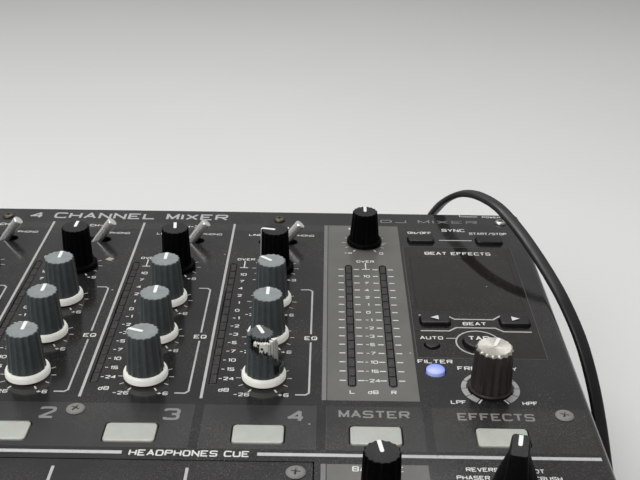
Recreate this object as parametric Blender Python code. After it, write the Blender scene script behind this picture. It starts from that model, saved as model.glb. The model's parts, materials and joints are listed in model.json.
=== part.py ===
"""A four-channel DJ mixer with its mains lead, as separate named parts at real size.

Metres, +Z up. X runs to the mixer's right, Y to its rear. The origin is under the middle of the
mixer, on the surface that its feet stand on.
"""

import math

import bmesh
import bpy
import numpy as np
from mathutils import Matrix

# Case
WIDTH = 0.320
DEPTH = 0.378
PANEL_TOP = 0.0885
PANEL_THICKNESS = 0.002
PANEL_EDGE_RADIUS = 0.003
SKIRT_BOTTOM = 0.0625
SHEET = 0.0015
GAP = 0.0003
FOOT_RADIUS = 0.011
FOOT_HEIGHT = 0.006
FOOT_INSET = 0.026
REAR_OVERHANG = 0.0105

# Channel strips
CHANNELS = 4
CHANNEL_PITCH = 0.043
FIRST_CHANNEL_X = -0.0851
KNOB_ROWS = {"trim": 0.1315, "eq_high": 0.1025, "eq_mid": 0.0752, "eq_low": 0.0474}
INPUT_SWITCH_Y = 0.1573
CUE_Y = 0.0145
METER_OFFSET = -0.0184
METER_ENDS = (0.0427, 0.1356)
METER_WIDTH = 0.0029

# Master and effects strips
MASTER_X = 0.0835
MASTER_METERS = (0.0760, 0.0909)
MASTER_LEVEL_Y = 0.1575
BALANCE_Y = -0.0177
EFFECTS_X = 0.1258
EFFECTS_CUE_X = 0.1261
FREQUENCY_Y = 0.0430
SELECTOR = (0.1253, -0.0141)
WINDOW_LOW = (0.1030, 0.0970)
WINDOW_HIGH = (0.1480, 0.1440)

# Fader section
FADER_PLATE_LOW = (-0.1043, -0.1760)
FADER_PLATE_HIGH = (0.0627, 0.0003)
FADER_REST_Y = -0.0900
FADER_TRAVEL = 0.060
CROSSFADER = (-0.0208, -0.1500)
CROSSFADER_TRAVEL = 0.045
FADER_SLOT_WIDTH = 0.003

# Controls
KNOB_LIFT = 0.0005
STEM_RADIUS = 0.003
STEM_HOLE_RADIUS = 0.0036
CUE_SIZE = (0.0173, 0.0098)
CUE_HEIGHT = 0.0003
KEY_SIZE = (0.0115, 0.0068)
KEY_GAP = 0.0004
KEY_BODY_BOTTOM = 0.0830
LEVER_RADIUS = 0.0023
LEVER_LENGTH = 0.0167
LEVER_PIVOT_DEPTH = 0.0038
LEVER_TILT = math.radians(38.5)
LEVER_SLOT = (0.0180, 0.0054)
ROCKER_TILT = math.radians(8)

# Inside
BOARD_TOP = 0.0720
BOARD_THICKNESS = 0.0016
POT_TOP = 0.0840
POT_SIZE = 0.0110

# Rear
REAR_PANEL_Y = DEPTH / 2 - REAR_OVERHANG
JACK_COLUMNS = (-0.110, -0.080, -0.050, -0.020, 0.010, 0.040)
JACK_ROWS = (0.032, 0.054)
JACK_RADIUS = 0.0042
INLET = (0.1164, 0.034)
POWER_SWITCH = (0.1308, 0.056)

# Mains lead
CORD_DIAMETER = 0.0056
CORD_POINT_SPACING = 2.1 * CORD_DIAMETER
CORD_ROUTE = (
    (0.1164, 0.1995, 0.0727),
    (0.1165, 0.1995, 0.0775),
    (0.1178, 0.1984, 0.0828),
    (0.1200, 0.1956, 0.0880),
    (0.1222, 0.1925, 0.0928),
    (0.1254, 0.1889, 0.0975),
    (0.1287, 0.1852, 0.1011),
    (0.1318, 0.1812, 0.1036),
    (0.1356, 0.1755, 0.1055),
    (0.1390, 0.1696, 0.1064),
    (0.1425, 0.1628, 0.1067),
    (0.1456, 0.1561, 0.1061),
    (0.1505, 0.1440, 0.1036),
    (0.1555, 0.1306, 0.0997),
    (0.1605, 0.1178, 0.0946),
    (0.1650, 0.1060, 0.0887),
    (0.1696, 0.0943, 0.0800),
    (0.1726, 0.0858, 0.0714),
    (0.1752, 0.0776, 0.0610),
    (0.1773, 0.0697, 0.0492),
    (0.1790, 0.0618, 0.0370),
    (0.1803, 0.0534, 0.0253),
    (0.1813, 0.0438, 0.0150),
    (0.1819, 0.0327, 0.0077),
    (0.1820, 0.0225, 0.0041),
    (0.1820, 0.0145, 0.0030),
)
CORD_END_CLEARANCE = 0.0008
COIL_CENTRE = (0.2240, -0.0080)
COIL_INNER_RADIUS = 0.0222
COIL_OUTER_RADIUS = 0.0450
COIL_HEIGHT = 0.0081
MAINS_PLUG_X = 0.1848
MAINS_PLUG_Z = 0.0076
RELIEF_END_Y = -0.0363

KNOB_SIDES = 16
HOLE_SIDES = 12
CORNER_STEPS = 3


def clear_scene():
    for old in list(bpy.data.objects):
        bpy.data.objects.remove(old, do_unlink=True)


def material(name, colour, roughness, metallic=0.0):
    made = bpy.data.materials.new(name)
    made.use_nodes = True
    shader = made.node_tree.nodes["Principled BSDF"]
    shader.inputs["Base Color"].default_value = (*colour, 1.0)
    shader.inputs["Roughness"].default_value = roughness
    shader.inputs["Metallic"].default_value = metallic
    return made


def place(name, bm, finish, location=(0, 0, 0), smooth=False):
    """Makes an object from a bmesh whose points are relative to location."""
    bmesh.ops.recalc_face_normals(bm, faces=bm.faces)
    mesh = bpy.data.meshes.new(name)
    bm.to_mesh(mesh)
    bm.free()
    if smooth:
        mesh.shade_smooth()
        mesh.set_sharp_from_angle(angle=math.radians(35))
    mesh.materials.append(finish)
    made = bpy.data.objects.new(name, mesh)
    made.location = location
    bpy.context.scene.collection.objects.link(made)
    return made


def pivot_empty(name, location, rotation=(0, 0, 0)):
    made = bpy.data.objects.new(name, None)
    made.location = location
    made.rotation_euler = rotation
    bpy.context.scene.collection.objects.link(made)
    return made


def combine(target, tool, operation):
    """Keeps tool as a hidden helper that is cut from target or joined to it."""
    tool.hide_render = True
    tool.display_type = "WIRE"
    modifier = target.modifiers.new(f"{operation} {tool.name}", "BOOLEAN")
    modifier.operation = operation
    modifier.solver = "EXACT"
    modifier.object = tool


def add_prism(bm, outline, low, high):
    """Adds an outline of (x, y) points, counter-clockwise, raised from low to high along Z."""
    bottom = [bm.verts.new((x, y, low)) for x, y in outline]
    top = [bm.verts.new((x, y, high)) for x, y in outline]
    bm.faces.new(bottom[::-1])
    bm.faces.new(top)
    count = len(outline)
    for i in range(count):
        j = (i + 1) % count
        bm.faces.new((bottom[i], bottom[j], top[j], top[i]))
    return bottom + top


def add_box(bm, low, high):
    outline = [(low[0], low[1]), (high[0], low[1]), (high[0], high[1]), (low[0], high[1])]
    return add_prism(bm, outline, low[2], high[2])


def rounded_rectangle(centre, size, radius, steps=CORNER_STEPS):
    half_x, half_y = size[0] / 2 - radius, size[1] / 2 - radius
    corners = [(half_x, half_y), (-half_x, half_y), (-half_x, -half_y), (half_x, -half_y)]
    points = []
    for quarter, (x, y) in enumerate(corners):
        for step in range(steps + 1):
            angle = (quarter + step / steps) * math.pi / 2
            points.append(
                (centre[0] + x + radius * math.cos(angle), centre[1] + y + radius * math.sin(angle))
            )
    return points


def circle(centre, radius, sides):
    angles = [2 * math.pi * i / sides for i in range(sides)]
    return [(centre[0] + radius * math.cos(a), centre[1] + radius * math.sin(a)) for a in angles]


def add_turned(bm, profile, sides, centre=(0, 0)):
    """Turns a (radius, z) profile, listed from its lower end on the axis to its upper end, about Z."""
    rings = []
    for radius, z in profile:
        rings.append([bm.verts.new((x, y, z)) for x, y in circle(centre, radius, sides)])
    bm.faces.new(rings[0][::-1])
    bm.faces.new(rings[-1])
    for lower, upper in zip(rings[:-1], rings[1:]):
        for i in range(sides):
            j = (i + 1) % sides
            bm.faces.new((lower[i], lower[j], upper[j], upper[i]))
    return [v for ring in rings for v in ring]


def channel_x(channel):
    return FIRST_CHANNEL_X + channel * CHANNEL_PITCH


def make_materials():
    return {
        "panel": material("panel_paint", (0.035, 0.037, 0.040), 0.38, 0.1),
        "case": material("case_paint", (0.022, 0.022, 0.024), 0.55, 0.1),
        "board": material("circuit_board", (0.02, 0.09, 0.045), 0.6),
        "metal": material("plated_steel", (0.62, 0.62, 0.60), 0.35, 1.0),
        "rubber": material("rubber", (0.025, 0.025, 0.025), 0.85),
        "dark_knob": material("dark_knob", (0.030, 0.032, 0.035), 0.45),
        "eq_knob": material("eq_knob", (0.22, 0.27, 0.31), 0.5),
        "cap": material("brushed_cap", (0.30, 0.29, 0.29), 0.35, 0.7),
        "cue": material("milky_key", (0.62, 0.68, 0.60), 0.45),
        "key": material("dark_key", (0.045, 0.045, 0.048), 0.5),
        "blue_key": material("blue_key", (0.10, 0.35, 0.85), 0.4),
        "chrome": material("lever_chrome", (0.75, 0.75, 0.74), 0.18, 1.0),
        "window": material("smoked_window", (0.03, 0.02, 0.02), 0.12),
        "fader": material("fader_cap", (0.04, 0.04, 0.042), 0.5),
        "cord": material("cord_jacket", (0.03, 0.03, 0.032), 0.55),
    }


def knob_places():
    """Name, centre, style of each rotary control."""
    places = []
    for channel in range(CHANNELS):
        for row, y in KNOB_ROWS.items():
            style = "dark" if row == "trim" else "eq"
            places.append((f"{row}_knob_{channel + 1}", (channel_x(channel), y), style))
    places.append(("master_level_knob", (MASTER_X, MASTER_LEVEL_Y), "short"))
    places.append(("balance_knob", (MASTER_X, BALANCE_Y), "dark"))
    places.append(("frequency_knob", (EFFECTS_X, FREQUENCY_Y), "frequency"))
    places.append(("effect_selector_knob", SELECTOR, "selector"))
    return places


def key_places():
    """Name, outline centre, size or diameter, height above the panel, and finish of each button."""
    places = []
    for channel in range(CHANNELS):
        name, x = f"cue_button_{channel + 1}", channel_x(channel)
        places.append((name, (x, CUE_Y), CUE_SIZE, CUE_HEIGHT, "cue"))
    places.append(("cue_button_master", (MASTER_X, CUE_Y), CUE_SIZE, CUE_HEIGHT, "cue"))
    places.append(("cue_button_effects", (EFFECTS_CUE_X, CUE_Y), CUE_SIZE, CUE_HEIGHT, "cue"))
    places.append(("sync_button_left", (0.1098, 0.1609), KEY_SIZE, 0.0018, "key"))
    places.append(("sync_button_right", (0.1413, 0.1606), KEY_SIZE, 0.0018, "key"))
    places.append(("beat_button_left", (0.1100, 0.0892), KEY_SIZE, 0.0018, "key"))
    places.append(("beat_button_right", (0.1418, 0.0890), KEY_SIZE, 0.0018, "key"))
    places.append(("tap_button", (0.1254, 0.0734), 0.0115, 0.0020, "key"))
    places.append(("auto_button", (0.1073, 0.0715), 0.0062, 0.0016, "key"))
    places.append(("filter_button", (0.1070, 0.0537), 0.0070, 0.0017, "blue_key"))
    return places


def key_outline(centre, size, grow=0.0):
    if isinstance(size, float):
        return circle(centre, size / 2 + grow, HOLE_SIDES)
    return rounded_rectangle(centre, (size[0] + 2 * grow, size[1] + 2 * grow), 0.0016 + grow)


def meter_centres():
    return [channel_x(c) + METER_OFFSET for c in range(CHANNELS)] + list(MASTER_METERS)


def panel_cutter(finish):
    """One helper that holds every opening through the top panel."""
    bm = bmesh.new()
    low, high = PANEL_TOP - 0.006, PANEL_TOP + 0.004
    for _, centre, _ in knob_places():
        add_prism(bm, circle(centre, STEM_HOLE_RADIUS, HOLE_SIDES), low, high)
    for _, centre, size, _, _ in key_places():
        add_prism(bm, key_outline(centre, size, KEY_GAP), low, high)
    for channel in range(CHANNELS):
        centre = (channel_x(channel), INPUT_SWITCH_Y)
        slot = rounded_rectangle(centre, LEVER_SLOT, LEVER_SLOT[1] / 2 - 1e-5)
        add_prism(bm, slot, low, high)
    meter_y = sum(METER_ENDS) / 2
    meter_length = METER_ENDS[1] - METER_ENDS[0]
    for x in meter_centres():
        slot = rounded_rectangle((x, meter_y), (METER_WIDTH, meter_length), METER_WIDTH / 2 - 1e-5)
        add_prism(bm, slot, low, high)
    add_box(bm, (*WINDOW_LOW, low), (*WINDOW_HIGH, high))
    edge = KEY_GAP
    add_box(
        bm,
        (FADER_PLATE_LOW[0] - edge, FADER_PLATE_LOW[1] - edge, low),
        (FADER_PLATE_HIGH[0] + edge, FADER_PLATE_HIGH[1] + edge, high),
    )
    return place("panel_cutter", bm, finish)


def make_top_panel(finish):
    """A folded cover: flat top with rounded side bends, side skirts and a front skirt."""
    half, radius = WIDTH / 2, PANEL_EDGE_RADIUS
    arc = [
        (
            half - radius + radius * math.cos(step * math.pi / 2 / 4),
            PANEL_TOP - radius + radius * math.sin(step * math.pi / 2 / 4),
        )
        for step in range(5)
    ]
    inner = half - SHEET - 0.0002
    right = [(half, SKIRT_BOTTOM)] + arc
    outer = right + [(-x, z) for x, z in right[::-1]]
    under = PANEL_TOP - PANEL_THICKNESS
    inside = [(-inner, SKIRT_BOTTOM), (-inner, under), (inner, under), (inner, SKIRT_BOTTOM)]
    bm = bmesh.new()
    verts = add_prism(bm, outer + inside, 0, DEPTH)
    stand = Matrix.Translation((0, DEPTH / 2, 0)) @ Matrix.Rotation(math.pi / 2, 4, "X")
    bmesh.ops.transform(bm, matrix=stand, verts=verts)
    panel = place("top_panel", bm, finish)

    bm = bmesh.new()
    front = -DEPTH / 2
    add_box(bm, (-inner - 0.0008, front, SKIRT_BOTTOM), (inner + 0.0008, front + SHEET, under + 0.001))
    combine(panel, place("front_skirt_helper", bm, finish), "UNION")
    combine(panel, panel_cutter(finish), "DIFFERENCE")


def make_fader_plate(finish):
    bm = bmesh.new()
    top = PANEL_TOP
    add_box(bm, (*FADER_PLATE_LOW, top - PANEL_THICKNESS), (*FADER_PLATE_HIGH, top))
    plate = place("fader_plate", bm, finish)
    bm = bmesh.new()
    low, high = top - 0.006, top + 0.004
    slot_y = FADER_REST_Y + FADER_TRAVEL / 2
    for channel in range(CHANNELS):
        size = (FADER_SLOT_WIDTH, FADER_TRAVEL + 0.006)
        add_prism(bm, rounded_rectangle((channel_x(channel), slot_y), size, 0.001, 2), low, high)
    size = (CROSSFADER_TRAVEL + 0.006, FADER_SLOT_WIDTH)
    add_prism(bm, rounded_rectangle(CROSSFADER, size, 0.001, 2), low, high)
    combine(plate, place("fader_slot_cutter", bm, finish), "DIFFERENCE")


def make_tray(finish):
    """The folded lower case, open at the top and the rear, with four board posts."""
    outer_x = WIDTH / 2 - SHEET - 0.0005
    front = -DEPTH / 2 + SHEET + GAP
    rear = REAR_PANEL_Y
    bottom = FOOT_HEIGHT + GAP
    top = PANEL_TOP - PANEL_THICKNESS - GAP
    bm = bmesh.new()
    add_box(bm, (-outer_x, front, bottom), (outer_x, rear, top))
    tray = place("chassis_tray", bm, finish)
    bm = bmesh.new()
    add_box(
        bm,
        (-outer_x + SHEET, front + SHEET, bottom + SHEET),
        (outer_x - SHEET, rear + 0.01, top + 0.01),
    )
    combine(tray, place("tray_hollow_cutter", bm, finish), "DIFFERENCE")
    bm = bmesh.new()
    post_top = BOARD_TOP - BOARD_THICKNESS - GAP
    for x in (-0.145, 0.145):
        for y in (-0.168, 0.020):
            add_prism(bm, circle((x, y), 0.0035, 8), bottom + SHEET / 2, post_top)
    combine(tray, place("post_helper", bm, finish), "UNION")


def make_feet(finish):
    for x_name, x_side in (("left", -1), ("right", 1)):
        for y_name, y_side in (("front", -1), ("rear", 1)):
            bm = bmesh.new()
            profile = [(FOOT_RADIUS - 0.0012, 0), (FOOT_RADIUS, 0.0012), (FOOT_RADIUS, FOOT_HEIGHT)]
            add_turned(bm, profile, 20)
            centre = (x_side * (WIDTH / 2 - FOOT_INSET), y_side * (DEPTH / 2 - FOOT_INSET), 0)
            place(f"foot_{y_name}_{x_name}", bm, finish, centre, smooth=True)


def make_main_board(finish):
    """The board under the panel, with the bodies of its pots, switches, faders and level meters."""
    top = BOARD_TOP
    bm = bmesh.new()
    add_box(bm, (-0.150, -0.178, top - BOARD_THICKNESS), (0.150, 0.1645, top))
    board = place("main_board", bm, finish)
    bm = bmesh.new()
    root = top - BOARD_THICKNESS / 2
    half = POT_SIZE / 2
    for _, (x, y), _ in knob_places():
        add_box(bm, (x - half, y - half, root), (x + half, y + half, POT_TOP))
    for _, (x, y), _, _, _ in key_places():
        add_box(bm, (x - 0.0024, y - 0.0024, root), (x + 0.0024, y + 0.0024, 0.0812))
    for channel in range(CHANNELS):
        x = channel_x(channel)
        add_box(
            bm, (x - 0.010, INPUT_SWITCH_Y - 0.005, root), (x + 0.010, INPUT_SWITCH_Y + 0.005, 0.0826)
        )
        middle = FADER_REST_Y + FADER_TRAVEL / 2
        reach = FADER_TRAVEL / 2 + 0.008
        add_box(bm, (x - 0.006, middle - reach, root), (x + 0.006, middle + reach, 0.0820))
    reach = CROSSFADER_TRAVEL / 2 + 0.008
    add_box(
        bm,
        (CROSSFADER[0] - reach, CROSSFADER[1] - 0.006, root),
        (CROSSFADER[0] + reach, CROSSFADER[1] + 0.006, 0.0820),
    )
    bar = METER_WIDTH / 2 - GAP
    for x in meter_centres():
        add_box(bm, (x - bar, METER_ENDS[0] + 0.0008, root), (x + bar, METER_ENDS[1] - 0.0008, 0.0866))
    inset = 0.003
    add_box(
        bm,
        (WINDOW_LOW[0] + inset, WINDOW_LOW[1] + inset, root),
        (WINDOW_HIGH[0] - inset, WINDOW_HIGH[1] - inset, 0.0862),
    )
    combine(board, place("board_part_helper", bm, finish), "UNION")


def make_power_supply(finish):
    """A shielded supply on the tray floor: cage, transformer block and heat sink fins."""
    floor = FOOT_HEIGHT + GAP + SHEET + GAP
    bm = bmesh.new()
    add_box(bm, (0.050, 0.040, floor), (0.148, 0.150, floor + 0.012))
    supply = place("power_supply", bm, finish)
    bm = bmesh.new()
    add_box(bm, (0.092, 0.095, floor + 0.010), (0.140, 0.140, floor + 0.045))
    for fin in range(5):
        x = 0.056 + 0.006 * fin
        add_box(bm, (x, 0.050, floor + 0.010), (x + 0.0015, 0.140, floor + 0.035))
    combine(supply, place("supply_part_helper", bm, finish), "UNION")


def make_window(finish):
    bm = bmesh.new()
    edge = KEY_GAP
    add_box(
        bm,
        (WINDOW_LOW[0] + edge, WINDOW_LOW[1] + edge, PANEL_TOP - 0.0019),
        (WINDOW_HIGH[0] - edge, WINDOW_HIGH[1] - edge, PANEL_TOP - 0.0002),
    )
    place("display_window", bm, finish)


def make_rear_panel(finish):
    """The recessed rear panel with its openings for jacks, inlet and power switch."""
    tray_inside = WIDTH / 2 - 2 * SHEET - 0.0005
    bottom = FOOT_HEIGHT + SHEET + 2 * GAP
    bm = bmesh.new()
    add_box(
        bm,
        (-tray_inside + GAP, REAR_PANEL_Y - SHEET, bottom),
        (tray_inside - GAP, REAR_PANEL_Y, PANEL_TOP - PANEL_THICKNESS - 2 * GAP),
    )
    panel = place("rear_panel", bm, finish)

    bm = bmesh.new()
    holes = []
    for x in JACK_COLUMNS:
        for z in JACK_ROWS:
            holes += add_prism(bm, circle((x, z), JACK_RADIUS + 0.0005, 8), 0, 0.02)
    inlet = rounded_rectangle(INLET, (0.0209, 0.0149), 0.0012, 2)
    switch = rounded_rectangle(POWER_SWITCH, (0.0104, 0.0200), 0.0008, 2)
    holes += add_prism(bm, inlet, 0, 0.02)
    holes += add_prism(bm, switch, 0, 0.02)
    stand = Matrix.Translation((0, REAR_PANEL_Y + 0.01, 0)) @ Matrix.Rotation(math.pi / 2, 4, "X")
    bmesh.ops.transform(bm, matrix=stand, verts=holes)
    combine(panel, place("rear_hole_cutter", bm, finish), "DIFFERENCE")


def make_jack_board(finish):
    """An upright board with two rows of phono jacks whose collars reach out through the rear panel."""
    front = REAR_PANEL_Y - 0.0121
    bm = bmesh.new()
    add_box(bm, (-0.122, front, 0.018), (0.052, front + BOARD_THICKNESS, 0.064))
    board = place("jack_board", bm, finish)
    bm = bmesh.new()
    tip = DEPTH / 2 - 0.0015 - front
    shoulder = REAR_PANEL_Y - SHEET - GAP - front
    profile = [
        (0.0055, BOARD_THICKNESS / 2),
        (0.0055, shoulder),
        (JACK_RADIUS, shoulder),
        (JACK_RADIUS, tip),
        (0.0018, tip),
        (0.0018, tip - 0.009),
    ]
    verts = []
    for x in JACK_COLUMNS:
        for z in JACK_ROWS:
            verts += add_turned(bm, profile, 8, (x, -z))
    stand = Matrix.Translation((0, front, 0)) @ Matrix.Rotation(-math.pi / 2, 4, "X")
    bmesh.ops.transform(bm, matrix=stand, verts=verts)
    combine(board, place("jack_helper", bm, finish), "UNION")


def make_power_inlet(finish):
    """The moulded mains inlet and the housing of the power switch, on one mounting flange."""
    x, z = INLET
    switch_x, switch_z = POWER_SWITCH
    front = REAR_PANEL_Y - SHEET - GAP
    bm = bmesh.new()
    add_box(bm, (x - 0.013, front - 0.0016, z - 0.010), (switch_x + 0.010, front, switch_z + 0.0128))
    inlet = place("power_inlet", bm, finish)
    bm = bmesh.new()
    add_box(bm, (x - 0.010, 0.1570, z - 0.007), (x + 0.010, REAR_PANEL_Y + 0.0016, z + 0.007))
    add_box(
        bm,
        (switch_x - 0.008, 0.1600, switch_z - 0.0125),
        (switch_x + 0.008, front - 0.0008, switch_z + 0.0125),
    )
    combine(inlet, place("inlet_helper", bm, finish), "UNION")
    bm = bmesh.new()
    add_box(bm, (x - 0.0082, 0.1680, z - 0.0044), (x + 0.0082, 0.1900, z + 0.0044))
    add_box(
        bm,
        (switch_x - 0.0052, 0.1655, switch_z - 0.0105),
        (switch_x + 0.0052, 0.1900, switch_z + 0.0105),
    )
    combine(inlet, place("inlet_cutter", bm, finish), "DIFFERENCE")


def make_power_switch(finish):
    """A rocker that turns on a pin along X, inside the housing."""
    outline = [
        (-0.003, -0.005),
        (0.002, -0.0082),
        (0.0076, -0.0082),
        (0.0062, 0.0),
        (0.0076, 0.0082),
        (0.002, 0.0082),
        (-0.003, 0.005),
    ]
    bm = bmesh.new()
    verts = add_prism(bm, outline, -0.0047, 0.0047)
    turn = Matrix(((0, 0, 1, 0), (1, 0, 0, 0), (0, 1, 0, 0), (0, 0, 0, 1)))
    bmesh.ops.transform(bm, matrix=turn, verts=verts)
    x, z = POWER_SWITCH
    rocker = place("power_switch", bm, finish)
    rocker.parent = pivot_empty("power_switch_pivot", (x, 0.1740, z), (ROCKER_TILT, 0, 0))


KNOB_PROFILES = {
    "dark": [(0.0081, 0.0000), (0.0081, 0.0020), (0.0063, 0.0027), (0.0057, 0.0183), (0.0052, 0.0187)],
    "eq": [(0.0081, 0.0005), (0.0081, 0.0024), (0.0070, 0.0040), (0.0059, 0.0185), (0.0055, 0.0188)],
    "short": [(0.0080, 0.0000), (0.0080, 0.0018), (0.0069, 0.0024), (0.0056, 0.0152), (0.0052, 0.0156)],
    "frequency": [(0.0078, 0.0000), (0.0078, 0.0008), (0.0074, 0.0020), (0.0068, 0.0165), (0.0062, 0.0175)],
    "selector": [(0.0080, 0.0000), (0.0079, 0.0015), (0.0069, 0.0050), (0.0050, 0.0110), (0.0026, 0.0175)],
}
SELECTOR_GRIP = (0.0090, 0.0150)
SELECTOR_GRIP_TOP = (0.0056, 0.0112)
SELECTOR_HEIGHT = 0.0189
SELECTOR_TURN = math.radians(-13)


def selector_grip():
    """The finger bar across the selector, narrower and shorter at its top."""
    bm = bmesh.new()
    outline = rounded_rectangle((0, 0), SELECTOR_GRIP, 0.0012)
    verts = add_prism(bm, outline, 0.0012, SELECTOR_HEIGHT)
    for vert in verts[len(outline):]:
        vert.co.x *= SELECTOR_GRIP_TOP[0] / SELECTOR_GRIP[0]
        vert.co.y *= SELECTOR_GRIP_TOP[1] / SELECTOR_GRIP[1]
    return bm


def make_knobs(finishes):
    finish_of = {"eq": "eq_knob", "frequency": "cap"}
    base = PANEL_TOP + KNOB_LIFT
    for name, (x, y), style in knob_places():
        shape = KNOB_PROFILES[style]
        stem_bottom = POT_TOP + GAP - base
        bm = bmesh.new()
        add_turned(bm, [(STEM_RADIUS, stem_bottom), (STEM_RADIUS, 0.0), *shape], KNOB_SIDES)
        knob = place(name, bm, finishes[finish_of.get(style, "dark_knob")], (x, y, base), smooth=True)
        if style == "selector":
            grip = place("selector_grip_helper", selector_grip(), finishes["dark_knob"])
            grip.parent = knob
            combine(knob, grip, "UNION")
            knob.rotation_euler.z = SELECTOR_TURN


def make_keys(finishes):
    """Buttons that press straight down: a cap with a softened rim on a plain skirt."""
    for name, centre, size, height, finish in key_places():
        top = PANEL_TOP + height - KEY_BODY_BOTTOM
        rim = 0.0004
        bm = bmesh.new()
        outline = key_outline((0, 0), size)
        verts = add_prism(bm, outline, 0.0, top - rim)
        upper = verts[len(outline):]
        face = next(f for f in bm.faces if set(f.verts) == set(upper))
        bmesh.ops.inset_region(bm, faces=[face], thickness=rim, use_even_offset=True)
        bmesh.ops.translate(bm, vec=(0, 0, rim), verts=face.verts)
        place(name, bm, finishes[finish], (*centre, KEY_BODY_BOTTOM))


def make_input_levers(finish):
    """Round toggle levers, each turning about a pin along Y below the panel."""
    for channel in range(CHANNELS):
        bm = bmesh.new()
        edge = 0.0003
        profile = [
            (LEVER_RADIUS, 0.0),
            (LEVER_RADIUS, LEVER_LENGTH - edge),
            (LEVER_RADIUS - edge, LEVER_LENGTH),
        ]
        add_turned(bm, profile, HOLE_SIDES)
        lever = place(f"input_lever_{channel + 1}", bm, finish, smooth=True)
        pivot = (channel_x(channel), INPUT_SWITCH_Y, PANEL_TOP - LEVER_PIVOT_DEPTH)
        lever.parent = pivot_empty(f"input_lever_pivot_{channel + 1}", pivot, (0, LEVER_TILT, 0))


def add_fader_cap(bm, along_x):
    """A wedge-topped cap on a flat blade that reaches down through the slot."""
    width, length, base, top = 0.0100, 0.0220, 0.0023, 0.0125
    verts = add_box(bm, (-0.0010, -0.0020, 0.0823 - PANEL_TOP), (0.0010, 0.0020, base + 0.0005))
    verts += add_box(bm, (-width / 2, -length / 2, base), (width / 2, length / 2, base + 0.0060))
    ridge = add_box(
        bm, (-width / 2 + 0.0006, -0.0050, base + 0.0055), (width / 2 - 0.0006, 0.0050, top)
    )
    for vert in ridge:
        if vert.co.z > base + 0.0060:
            vert.co.y *= 0.55
    if along_x:
        turn = Matrix.Rotation(math.pi / 2, 4, "Z")
        bmesh.ops.transform(bm, matrix=turn, verts=verts + ridge)


def make_faders(finish):
    """Each cap is welded from its blade, its base and its finger ridge."""
    places = [
        (f"channel_fader_{c + 1}", (channel_x(c), FADER_REST_Y), False) for c in range(CHANNELS)
    ]
    places.append(("crossfader", CROSSFADER, True))
    for name, (x, y), along_x in places:
        bm = bmesh.new()
        add_fader_cap(bm, along_x)
        cap = place(name, bm, finish, (x, y, PANEL_TOP))
        weld = bmesh.new()
        reach = (0.0009, 0.0019) if not along_x else (0.0019, 0.0009)
        add_box(weld, (-reach[0], -reach[1], 0.0015), (reach[0], reach[1], 0.0100))
        helper = place(f"{name}_core_helper", weld, finish)
        helper.parent = cap
        combine(cap, helper, "UNION")
        cap.modifiers[0].use_self = True


def smooth_route(points, spacing):
    """Evenly spaced points on a Catmull-Rom curve through the given ones."""
    route = np.array(points)
    ends = [2 * route[0] - route[1], *route, 2 * route[-1] - route[-2]]
    fine = []
    for a, b, c, d in zip(ends[:-3], ends[1:-2], ends[2:-1], ends[3:]):
        for t in np.linspace(0, 1, 20, endpoint=False):
            fine.append(
                0.5 * (2 * b + (c - a) * t + (2 * a - 5 * b + 4 * c - d) * t**2
                       + (3 * b - a - 3 * c + d) * t**3)
            )
    fine = np.array([*fine, route[-1]])
    along = np.concatenate([[0], np.cumsum(np.linalg.norm(np.diff(fine, axis=0), axis=1))])
    wanted = np.linspace(0, along[-1], round(along[-1] / spacing) + 1)
    return np.column_stack([np.interp(wanted, along, fine[:, k]) for k in range(3)])


def make_cord(finish):
    curve = bpy.data.curves.new("power_cord", "CURVE")
    curve.dimensions = "3D"
    curve.bevel_depth = CORD_DIAMETER / 2
    curve.bevel_resolution = 2
    curve.use_fill_caps = True
    points = smooth_route(CORD_ROUTE, CORD_POINT_SPACING)
    spline = curve.splines.new("POLY")
    spline.points.add(len(points) - 1)
    for point, position in zip(spline.points, points):
        point.co = (*position, 1)
    curve.materials.append(finish)
    bpy.context.scene.collection.objects.link(bpy.data.objects.new("power_cord", curve))


def make_coil(finish):
    """The outer shape of the wound-up rest of the lead, lying beside the case."""
    sides = 28
    bm = bmesh.new()
    edge = 0.0018
    inner, outer, top = COIL_INNER_RADIUS, COIL_OUTER_RADIUS, COIL_HEIGHT
    loop = [
        (inner, edge),
        (inner + edge, 0.0),
        (outer - edge, 0.0),
        (outer, edge),
        (outer, top - edge),
        (outer - edge, top),
        (inner + edge, top),
        (inner, top - edge),
    ]
    rings = [
        [bm.verts.new((x, y, z)) for x, y in circle((0, 0), radius, sides)] for radius, z in loop
    ]
    for k in range(len(loop)):
        lower, upper = rings[k], rings[(k + 1) % len(loop)]
        for i in range(sides):
            j = (i + 1) % sides
            bm.faces.new((lower[i], lower[j], upper[j], upper[i]))
    place("power_cord_coil", bm, finish, (*COIL_CENTRE, 0), smooth=True)


def make_appliance_plug(finish):
    """An angled connector: nose in the inlet, body behind the case, cord relief pointing up."""
    x, z = INLET
    cord_x, cord_y, cord_z = CORD_ROUTE[0]
    bm = bmesh.new()
    body = rounded_rectangle((cord_x, 0.1930), (0.0180, 0.0246), 0.003)
    add_prism(bm, body, z - 0.0095, z + 0.0095)
    plug = place("appliance_plug", bm, finish)
    bm = bmesh.new()
    add_box(bm, (x - 0.0078, 0.1684, z - 0.0040), (x + 0.0078, 0.1835, z + 0.0040))
    relief = [(0.0054, z + 0.0085), (0.0050, z + 0.016), (0.0034, cord_z - CORD_END_CLEARANCE)]
    add_turned(bm, relief, HOLE_SIDES, (cord_x, cord_y))
    combine(plug, place("appliance_plug_helper", bm, finish), "UNION")


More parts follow.
